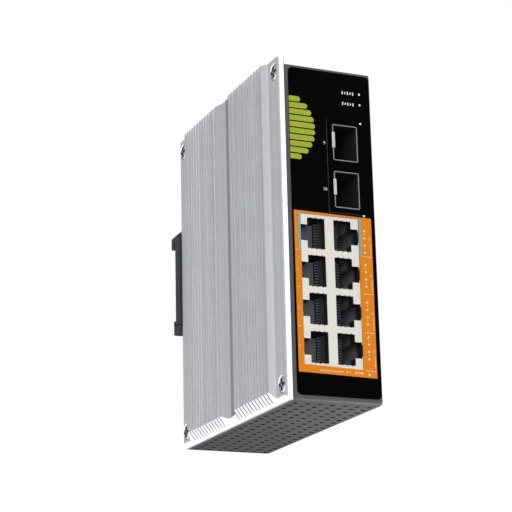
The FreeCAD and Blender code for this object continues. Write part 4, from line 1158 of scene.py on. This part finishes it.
@dataclass
class VentShadeRims(SubAssembly):
    """Round rims of painted shade in the punched vents underneath, so that each one reads as a dark
    hole.

    Attributes:
        start: X and Y of the first vent in millimetres.
        pitch: Step along X and Y.
        columns: Vents across X.
        rows: Vents along Y.
        outer: Outer radius of a rim.
        inner: Inner radius of a rim.
        z: Foot and top of a rim in the sheet.
        sides: Sides of a rim.
    """

    start: Point = (2.9, 5.6)
    pitch: Point = (4.85, 4.9)
    columns: int = 7
    rows: int = 20
    outer: float = 0.96
    inner: float = 0.88
    z: Point = (0.02, 0.98)
    sides: int = 16

    def build(self) -> None:
        """Turns one rim for each vent."""
        bm = bmesh.new()
        low, high = self.z
        corners = ((self.outer, low), (self.inner, low), (self.inner, high), (self.outer, high))
        turns = [2 * math.pi * k / self.sides for k in range(self.sides)]
        for row in range(self.rows):
            for column in range(self.columns):
                x = self.start[0] + column * self.pitch[0]
                y = self.start[1] + row * self.pitch[1]
                rings = [[bm.verts.new(case_point(
                    x + radius * math.cos(t), y + radius * math.sin(t), z))
                    for radius, z in corners] for t in turns]
                add_skin(bm, rings, ends=False)
        self.piece("vent_shade_rims", bm, [VENT_PAINTED_SHADE], "painted_steel")


@dataclass
class SocketBlock(SubAssembly):
    """Shield of the socket block with its stamped openings, and the combs and wires inside.

    Attributes:
        shield_x: Left and right of the shield in millimetres.
        shield_z: Bottom and top of the shield.
        depth: Shield along Y.
        sheet: Shield thickness.
        columns: Main opening of each column across X.
        tall: Main opening across Z.
        latch_wide: Latch notch across X.
        latch_tall: Latch notch across Z.
        latch_step: Height of the step at both ends of a right latch notch.
        latch_ear: How far the notch reaches beyond that step.
        nicks: Where the small nicks of an edge start, as shares of its width.
        nick: Width and depth of a nick.
        rows: Heights of the middles of the rows.
        comb_start: Front of the comb behind the front face.
        comb_end: Its back.
        comb_room: Comb above and below the contacts.
        ledge: Wall under the comb.
        tooth: Comb tooth beyond that wall.
        tooth_size: Length of a tooth along Y and half its thickness.
        guide_x: Left and right of the plug guide in a left socket.
        guide_z: Foot and top of that guide from the socket's middle.
        guide_y: Front and back of that guide behind the comb's front.
        guide_room: Clearance between the guide and the socket's walls.
        guide_lip: Width of the lip on its right edge, and how far it stands forward.
        pitch: Contact spacing.
        contacts: Contacts in a socket.
        wire: Width and thickness of a contact wire.
        wire_bends: Bends of a wire, as X beyond the ledge and Y behind the front face.
    """

    shield_x: Point = (4.0, 28.5)
    shield_z: Point = (11.765, 68.75)
    depth: float = 34.0
    sheet: float = 0.3
    columns: dict[Side, Point] = field(default_factory=lambda: {
        Side.LEFT: (7.2, 14.15), Side.RIGHT: (17.65, 24.6)})
    tall: float = 11.4
    latch_wide: float = 2.7
    latch_tall: float = 6.0
    latch_step: float = 0.9
    latch_ear: float = 0.3
    nicks: Triple = (0.18, 0.47, 0.76)
    nick: Point = (0.55, 0.28)
    rows: tuple[float, ...] = (19.3, 33.27, 47.24, 61.21)
    comb_start: float = 3.3
    comb_end: float = 20.9
    comb_room: float = 0.7
    ledge: float = 1.6
    tooth: float = 1.55
    tooth_size: Point = (3.0, 0.2)
    guide_x: Point = (4.7, 10.6)
    guide_z: Point = (-5.6, 3.9)
    guide_y: Point = (0.5, 1.3)
    guide_room: float = 0.1
    guide_lip: Point = (0.5, 0.25)
    pitch: float = 1.02
    contacts: int = 8
    wire: Point = (0.4, 0.3)
    wire_bends: tuple[Point, ...] = ((0.3, 3.8), (1.0, 4.3), (1.35, 5.2), (1.2, 8.0),
                                     (0.3, 14.5), (-0.2, 17.0))

    def opening(self, side: Side, middle: float) -> list[Point]:
        """Outline of one socket with the small notches of its stamped edge.

        Args:
            side: Column of the socket.
            middle: Height of its middle.

        Returns:
            Corners of the opening in millimetres.
        """
        left, right = self.columns[side]
        half, latch, (wide, deep) = self.tall / 2, self.latch_tall / 2, self.nick
        edge = []
        for share in self.nicks:
            start = left + share * (right - left)
            edge += [(start, 0.0), (start, deep), (start + wide, deep), (start + wide, 0.0)]
        low = [(left, middle - half)] + [(x, middle - half - z) for x, z in edge]
        high = [(x, middle + half + z) for x, z in edge[::-1]] + [(left, middle + half)]
        if side is Side.RIGHT:
            out, step = right + self.latch_wide, latch - self.latch_step
            ear = out + self.latch_ear
            beside = [(right, middle - half), (right, middle - latch), (out, middle - latch),
                      (out, middle - step), (ear, middle - step), (ear, middle + step),
                      (out, middle + step), (out, middle + latch), (right, middle + latch),
                      (right, middle + half)]
            return low + beside + high
        out = left - self.latch_wide
        beside = [(left, middle + latch), (out, middle + latch), (out, middle - latch),
                  (left, middle - latch)]
        return low + [(right, middle - half), (right, middle + half)] + high + beside

    def shield(self) -> None:
        """Stamps the shield's front and folds its walls."""
        outlines = [rectangle(self.shield_x, self.shield_z)]
        outlines += [self.opening(side, middle) for side in Side for middle in self.rows]
        bm = flat_plate(outlines, 0.0, self.sheet)
        (left, right), (low, high) = self.shield_x, self.shield_z
        back = (self.sheet, self.depth)
        add_box(bm, (left, right), back, (high - self.sheet, high))
        add_box(bm, (left, right), back, (low, low + self.sheet))
        add_box(bm, (right - self.sheet, right), back, (low, high))
        add_box(bm, (left, right), (self.depth - self.sheet, self.depth), (low, high))
        self.piece("socket_shield", bm, [TINNED], "tinned_can", ["jack_shield"])

    def wall(self, side: Side) -> tuple[float, int]:
        """Wall that carries the contacts, and the direction into the socket."""
        left, right = self.columns[side]
        return (right, -1) if side is Side.LEFT else (left, 1)

    def combs(self) -> None:
        """Ledge and teeth that guide the contact wires in each socket."""
        bm = bmesh.new()
        half = self.contacts * self.pitch / 2
        long, thick = self.tooth_size
        for side in Side:
            wall, inward = self.wall(side)
            ledge = wall + inward * self.ledge
            tip = ledge + inward * self.tooth
            for middle in self.rows:
                add_box(bm, (min(wall, ledge), max(wall, ledge)), (self.comb_start, self.comb_end),
                        (middle - half - self.comb_room, middle + half + self.comb_room))
                for k in range(self.contacts + 1):
                    z = middle - half + k * self.pitch
                    add_box(bm, (min(ledge, tip), max(ledge, tip)),
                            (self.comb_start, self.comb_start + long),
                            (z - thick, z + thick), 1)
        self.piece("contact_combs", bm, [COMB_NYLON, GUIDE_NYLON], "port_plastic")

    def guides(self) -> None:
        """Stepped webs that guide a plug's body beside the contacts of the left column."""
        bm = bmesh.new()
        (left, right), (foot, top), (wide, proud) = self.guide_x, self.guide_z, self.guide_lip
        notch = self.latch_tall / 2 - self.guide_room
        main = self.columns[Side.LEFT][0] + self.guide_room
        front, back = (self.comb_start + y for y in self.guide_y)
        for middle in self.rows:
            tall = (middle + foot, middle + top)
            add_box(bm, (left, main), (front, back), (middle - notch, middle + notch))
            add_box(bm, (main, right), (front, back), tall)
            add_box(bm, (right - wide, right), (front - proud, front), tall)
        self.piece("plug_guides", bm, [GUIDE_NYLON], "port_plastic")

    def wires(self) -> None:
        """Formed contact wires that spring back over the ledge."""
        bm = bmesh.new()
        for side in Side:
            wall, inward = self.wall(side)
            for middle in self.rows:
                for k in range(self.contacts):
                    z = middle + (k - (self.contacts - 1) / 2) * self.pitch
                    path = [case_point(wall + inward * (self.ledge + x), y, z)
                            for x, y in self.wire_bends]
                    add_sweep(bm, path, UP, *self.wire)
        self.piece("contact_wires", bm, [CONTACT_GOLD_PAINTED_SHADE], "gilt_contact", ["jack_contacts"])

    def build(self) -> None:
        """Makes the shield, and the combs, guides and wires of the sockets."""
        self.shield()
        self.combs()
        self.guides()
        self.wires()


@dataclass
class ModuleCages(SubAssembly):
    """Folded cages for the optical modules, bright outside, with a lining of painted shade inside.

    Attributes:
        x: Left and right of a cage in millimetres.
        front: Y of the rim.
        depth: Y of the back.
        tall: Cage across Z.
        feet: Height of each cage's underside.
        sheet: Thickness of the sheet.
        window: Opening over the connector in the left wall, as Y in front of the back.
        rim: Depth of the rim that stays bright, without painted shade.
        lining: Thickness of the lining of painted shade.
        tongue: Width and thickness of a latch tongue.
        tongue_rise: Middle of a tongue above the cage's middle.
        tongue_bends: Bends of a tongue, as X from the cage's left and Y.
        finger: Width and thickness of a spring finger.
        finger_heights: Heights of the fingers above a cage's foot.
        finger_starts: Where the fingers start behind the front.
        finger_bends: Bends of a finger, as X from the right wall and Y from its start.
    """

    x: Point = (18.4, 28.4)
    front: float = -0.6
    depth: float = 48.0
    tall: float = 13.9
    feet: dict[str, float] = field(default_factory=lambda: {"lower": 71.75, "upper": 89.85})
    sheet: float = 0.3
    window: Point = (14.3, 3.7)
    rim: float = 0.5
    lining: float = 0.05
    tongue: Point = (6.0, 0.15)
    tongue_rise: float = 0.95
    tongue_bends: tuple[Point, ...] = ((-0.25, -0.52), (0.6, -0.5), (1.0, -0.2), (1.1, 0.8),
                                       (0.9, 3.6), (0.4, 5.5))
    finger: Point = (1.5, 0.12)
    finger_heights: Point = (2.6, 10.2)
    finger_starts: Point = (16.0, 24.0)
    finger_bends: tuple[Point, ...] = ((-0.2, 0.0), (-0.9, 2.0), (-1.1, 4.0), (-0.4, 6.5))

    def shell(self, name: str, foot: float) -> None:
        """Folds one cage, open at the front and over its connector.

        Args:
            name: Which cage.
            foot: Height of its underside.
        """
        (left, right), skin, lip = self.x, self.sheet, self.lining
        front, back, top = self.front, self.depth, foot + self.tall
        open_from, open_to = (back - y for y in self.window)
        # The lining of painted shade starts behind the rim, and stands inside the walls
        inner, behind = front + self.rim, back - skin
        x, y, z = (left + skin, right - skin), (inner, behind), (foot + skin, top - skin)
        walls = (((right - skin, right), (front, back), (foot, top)),
                 ((left, right), (front, back), (foot, foot + skin)),
                 ((left, right), (front, back), (top - skin, top)),
                 ((left, right), (behind, back), (foot, top)),
                 ((left, left + skin), (front, open_from), (foot, top)),
                 ((left, left + skin), (open_to, back), (foot, top)))
        linings = (((x[1] - lip, x[1]), y, z), (x, y, (z[0], z[0] + lip)),
                   (x, y, (z[1] - lip, z[1])), (x, (behind - lip, behind), z),
                   ((x[0], x[0] + lip), (inner, open_from), z))
        bm = bmesh.new()
        for material, blocks in enumerate((walls, linings)):
            for block in blocks:
                add_box(bm, *block, material)
        self.piece(f"{name}_cage_shell", bm, [NICKEL, NICKEL_PAINTED_SHADE], "plated_cage",
                   [f"sfp_cage_{name}"])

    def tongues(self) -> None:
        """Sprung latch tongues over the left edge of each cage."""
        bm = bmesh.new()
        for foot in self.feet.values():
            z = foot + self.tall / 2 + self.tongue_rise
            path = [case_point(self.x[0] + x, y, z) for x, y in self.tongue_bends]
            add_sweep(bm, path, UP, *self.tongue)
        # Painted highlight: the tongues take a near white copy of the nickel
        self.piece("cage_tongues", bm, [NICKEL_PAINTED_HIGHLIGHT], "plated_cage")

    def fingers(self) -> None:
        """Stamped spring fingers on the right wall of each cage."""
        bm = bmesh.new()
        right = self.x[1] - self.sheet
        for foot in self.feet.values():
            for height in self.finger_heights:
                for start in self.finger_starts:
                    path = [case_point(right + x, start + y, foot + height)
                            for x, y in self.finger_bends]
                    add_sweep(bm, path, UP, *self.finger)
        self.piece("cage_fingers", bm, [NICKEL], "plated_cage")

    def build(self) -> None:
        """Makes both cages with their tongues and fingers."""
        for name, foot in self.feet.items():
            self.shell(name, foot)
        self.tongues()
        self.fingers()


@dataclass
class LatchSpring(SubAssembly):
    """Wound springs between the bracket's peg and the latch's top bar.

    Attributes:
        radius: Radius of a coil's middle line in millimetres.
        wire: Wire diameter.
        apart: Distance of each coil from the middle.
        turns: Whole turns.
        steps: Rings in a turn.
        sides: Sides of the wire.
        keep: Share of its length that is left with the latch pulled down; not used.
    """

    radius: float = 0.32
    wire: float = 0.3
    apart: float = 1.7
    turns: int = 14
    steps: int = 16
    sides: int = 6
    keep: float = 0.76

    def coil(self, bm: bmesh.types.BMesh, foot: Vector, tall: float) -> None:
        """Winds one coil.

        Args:
            bm: Mesh that takes the coil.
            foot: Middle of its foot in metres.
            tall: Its height in metres.
        """
        total, half = self.turns * self.steps, self.wire * MM / 2
        rings = []
        for i in range(total + 1):
            turn = 2 * math.pi * i / self.steps
            spoke = Vector((math.cos(turn), math.sin(turn), 0))
            centre = foot + spoke * self.radius * MM + UP * (half + i / total * (tall - 2 * half))
            rolls = [2 * math.pi * k / self.sides for k in range(self.sides)]
            rings.append([bm.verts.new(centre + (spoke * math.cos(r) + UP * math.sin(r)) * half)
                          for r in rolls])
        add_skin(bm, rings)

    def build(self) -> None:
        """Winds two coils side by side where the serpentine solid stands."""
        low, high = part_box("latch_spring")
        bm = bmesh.new()
        middle = (low + high) / 2
        for offset in (-self.apart, self.apart):
            foot = Vector((middle.x + offset * MM, middle.y, low.z))
            self.coil(bm, foot, high.z - low.z)
        spring = self.piece("latch_coils", bm, [SPRING_WIRE], "spring_steel",
                            ["latch_spring"], smooth=True)
        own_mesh(spring)


@dataclass
class TerminalKeys(SubAssembly):
    """Ribs inside the pin header on the top.

    Attributes:
        rib: Rib across the header in millimetres.
        long: Rib along the wall.
        count: Ribs, one for each pin.
        wall: Wall of the header.
        drop: Top of a rib under the header's top.
        half_pin: Half of a pin along Y.
        edge: Rounding of the ribs.
    """

    rib: float = 0.8
    long: float = 1.2
    count: int = 6
    wall: float = 1.2
    drop: float = 0.4
    half_pin: float = 0.5
    edge: float = 0.12

    def build(self) -> None:
        """Stands one rib beside each pin on the right wall."""
        low, high = ((corner - CASE_CORNER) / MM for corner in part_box("terminal_pins"))
        shell = (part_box("terminal_housing")[1] - CASE_CORNER) / MM
        right, top = shell.x - self.wall, shell.z - self.drop
        first, last = low.y + self.half_pin, high.y - self.half_pin
        bm = bmesh.new()
        for k in range(self.count):
            y = first + (last - first) * k / (self.count - 1)
            add_box(bm, (right - self.rib, right), (y - self.long / 2, y + self.long / 2),
                    (low.z, top))
        bmesh.ops.bevel(bm, geom=list(bm.edges), offset=self.edge * MM, segments=2,
                        profile=0.5, affect="EDGES", clamp_overlap=True)
        self.piece("terminal_ribs", bm, [GREEN_MOULDING], "green_plastic")


# Studio


@dataclass(frozen=True)
class SoftBox:
    """A large square lamp.

    Attributes:
        name: Lamp's name.
        place: Its place in metres.
        size: Length of its side in metres.
        watts: Its power.
    """

    name: str
    place: Triple
    size: float
    watts: float

    def build(self, target: Vector) -> None:
        """Hangs the lamp and turns it to a point.

        Args:
            target: Point that it faces.
        """
        lamp = bpy.data.lights.new(self.name, "AREA")
        lamp.shape = "SQUARE"
        lamp.size = self.size
        lamp.energy = self.watts
        holder = bpy.data.objects.new(self.name, lamp)
        holder.location = self.place
        holder.rotation_euler = (target - Vector(self.place)).to_track_quat("-Z", "Y").to_euler()
        holder.visible_camera = False
        bpy.context.scene.collection.objects.link(holder)


@dataclass
class Studio:
    """Camera, lamps, pale surroundings and floor.

    Attributes:
        place: Camera's place in metres.
        turn: Camera's rotation in degrees about X, Y and Z.
        lens: Focal length in millimetres on a 36 mm sensor.
        target: Point that the lamps face.
        fill: Strength of the surroundings as light.
        shine: Their strength in reflections, in front of the part and behind it.
        shine_y: Direction along Y where the front strength ends and the back one starts.
        floor: Height of the floor, which lies below the camera that looks up.
        floor_half: Half of its side in metres.
        floor_glow: Strength of its glow where it is seen.
        card: Strength of its glow in reflections, on the left and on the right.
        card_x: Metres along X where the left strength ends and the right one starts.
        lamps: The soft lamps.
    """

    place: Triple = (-0.271055, -0.608035, -0.126714)
    turn: Triple = (106.32855, 1.29785, -23.29164)
    lens: float = 126.161
    target: Triple = (0.0, 0.0, 0.06)
    fill: float = 0.42
    shine: Point = (0.72, 0.50)
    shine_y: Point = (-0.9, -0.15)
    floor: float = -0.42
    floor_half: float = 3.0
    floor_glow: float = 0.8
    card: Point = (1.5, 0.12)
    card_x: Point = (-0.15, 0.25)
    lamps: tuple[SoftBox, ...] = (
        SoftBox("key_softbox", (-0.6, -1.3, 1.0), 0.9, 7.6),
        SoftBox("front_softbox", (-0.5, -1.25, 0.2), 0.8, 7.4),
        SoftBox("low_softbox", (0.07, -0.045, -0.10), 0.09, 0.19),
    )

    def camera(self) -> None:
        """Sets the camera at the photograph's angle."""
        data = bpy.data.cameras.new("camera")
        data.lens = self.lens
        data.sensor_width = 36.0
        data.clip_start, data.clip_end = 0.01, 20.0
        holder = bpy.data.objects.new("camera", data)
        holder.location = self.place
        holder.rotation_euler = Euler([math.radians(a) for a in self.turn], "XYZ")
        bpy.context.scene.collection.objects.link(holder)
        bpy.context.scene.camera = holder

    def surroundings(self) -> None:
        """Makes the surroundings white where they are seen, and dimmer where they light."""
        world = bpy.data.worlds.new("studio")
        bpy.context.scene.world = world
        world.use_nodes = True
        tree = world.node_tree
        tree.nodes.clear()
        place = add_node(tree, "ShaderNodeTexCoord")
        split = add_node(tree, "ShaderNodeSeparateXYZ", inputs={
            "Vector": place.outputs["Generated"]})
        # Reflections find a paler front and a greyer back, as between a window and a wall
        shine = add_node(tree, "ShaderNodeMapRange", inputs={
            "Value": split.outputs["Y"], "From Min": self.shine_y[0],
            "From Max": self.shine_y[1], "To Min": self.shine[0], "To Max": self.shine[1]})
        rays = add_node(tree, "ShaderNodeLightPath")
        glossy = add_node(tree, "ShaderNodeMix", {"data_type": "FLOAT"}, {
            "Factor": rays.outputs["Is Glossy Ray"], "A": self.fill,
            "B": shine.outputs["Result"]})
        clear = add_node(tree, "ShaderNodeMath", {"operation": "MAXIMUM"}, {
            0: rays.outputs["Is Camera Ray"], 1: rays.outputs["Is Transmission Ray"]})
        level = add_node(tree, "ShaderNodeMix", {"data_type": "FLOAT"}, {
            "Factor": clear.outputs["Value"], "A": glossy.outputs["Result"], "B": 1.0})
        back = add_node(tree, "ShaderNodeBackground", inputs={
            "Color": (1, 1, 1, 1), "Strength": level.outputs["Result"]})
        add_node(tree, "ShaderNodeOutputWorld", inputs={"Surface": back.outputs["Background"]})

    def ground(self) -> None:
        """Lays the pale floor, which mirrors as a bright card on its left and dim on its right."""
        material = bpy.data.materials.new("pale_floor")
        material.use_nodes = True
        tree = material.node_tree
        tree.nodes.clear()
        rays = add_node(tree, "ShaderNodeLightPath")
        seen = add_node(tree, "ShaderNodeMath", {"operation": "MAXIMUM"}, {
            0: rays.outputs["Is Camera Ray"], 1: rays.outputs["Is Glossy Ray"]})
        matt = add_node(tree, "ShaderNodeBsdfDiffuse", inputs={"Color": linear("#5A5A5C")})
        place = add_node(tree, "ShaderNodeTexCoord")
        split = add_node(tree, "ShaderNodeSeparateXYZ", inputs={
            "Vector": place.outputs["Object"]})
        card = add_node(tree, "ShaderNodeMapRange", {"interpolation_type": "SMOOTHSTEP"}, {
            "Value": split.outputs["X"], "From Min": self.card_x[0],
            "From Max": self.card_x[1], "To Min": self.card[0], "To Max": self.card[1]})
        level = add_node(tree, "ShaderNodeMix", {"data_type": "FLOAT"}, {
            "Factor": rays.outputs["Is Glossy Ray"], "A": self.floor_glow,
            "B": card.outputs["Result"]})
        glow = add_node(tree, "ShaderNodeEmission", inputs={
            "Color": linear("#F4F4F6"), "Strength": level.outputs["Result"]})
        half = add_node(tree, "ShaderNodeAddShader", inputs={
            0: matt.outputs["BSDF"], 1: glow.outputs["Emission"]})
        mix = add_node(tree, "ShaderNodeMixShader", inputs={
            "Fac": seen.outputs["Value"], 1: matt.outputs["BSDF"], 2: half.outputs["Shader"]})
        add_node(tree, "ShaderNodeOutputMaterial", inputs={"Surface": mix.outputs["Shader"]})
        bm = bmesh.new()
        bmesh.ops.create_grid(bm, x_segments=1, y_segments=1, size=self.floor_half)
        floor = stand_mesh("pale_floor", bm)
        floor.data.materials.append(material)
        floor.location = (0, 0, self.floor)

    def build(self) -> None:
        """Sets up the whole studio."""
        bpy.context.scene.view_settings.view_transform = "Standard"
        self.camera()
        self.surroundings()
        self.ground()
        for lamp in self.lamps:
            lamp.build(Vector(self.target))


def main() -> None:
    """Builds the studio and every sub-assembly."""
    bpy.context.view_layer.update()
    Studio().build()
    for assembly in (Frame(), FinnedPlate(), FrontPrint(), FrontMarks(), VentShadeRims(),
                     SocketBlock(), ModuleCages(), LatchSpring(), TerminalKeys()):
        assembly.build()
        assembly.report()
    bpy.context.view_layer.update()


if __name__ == "__main__":
    main()
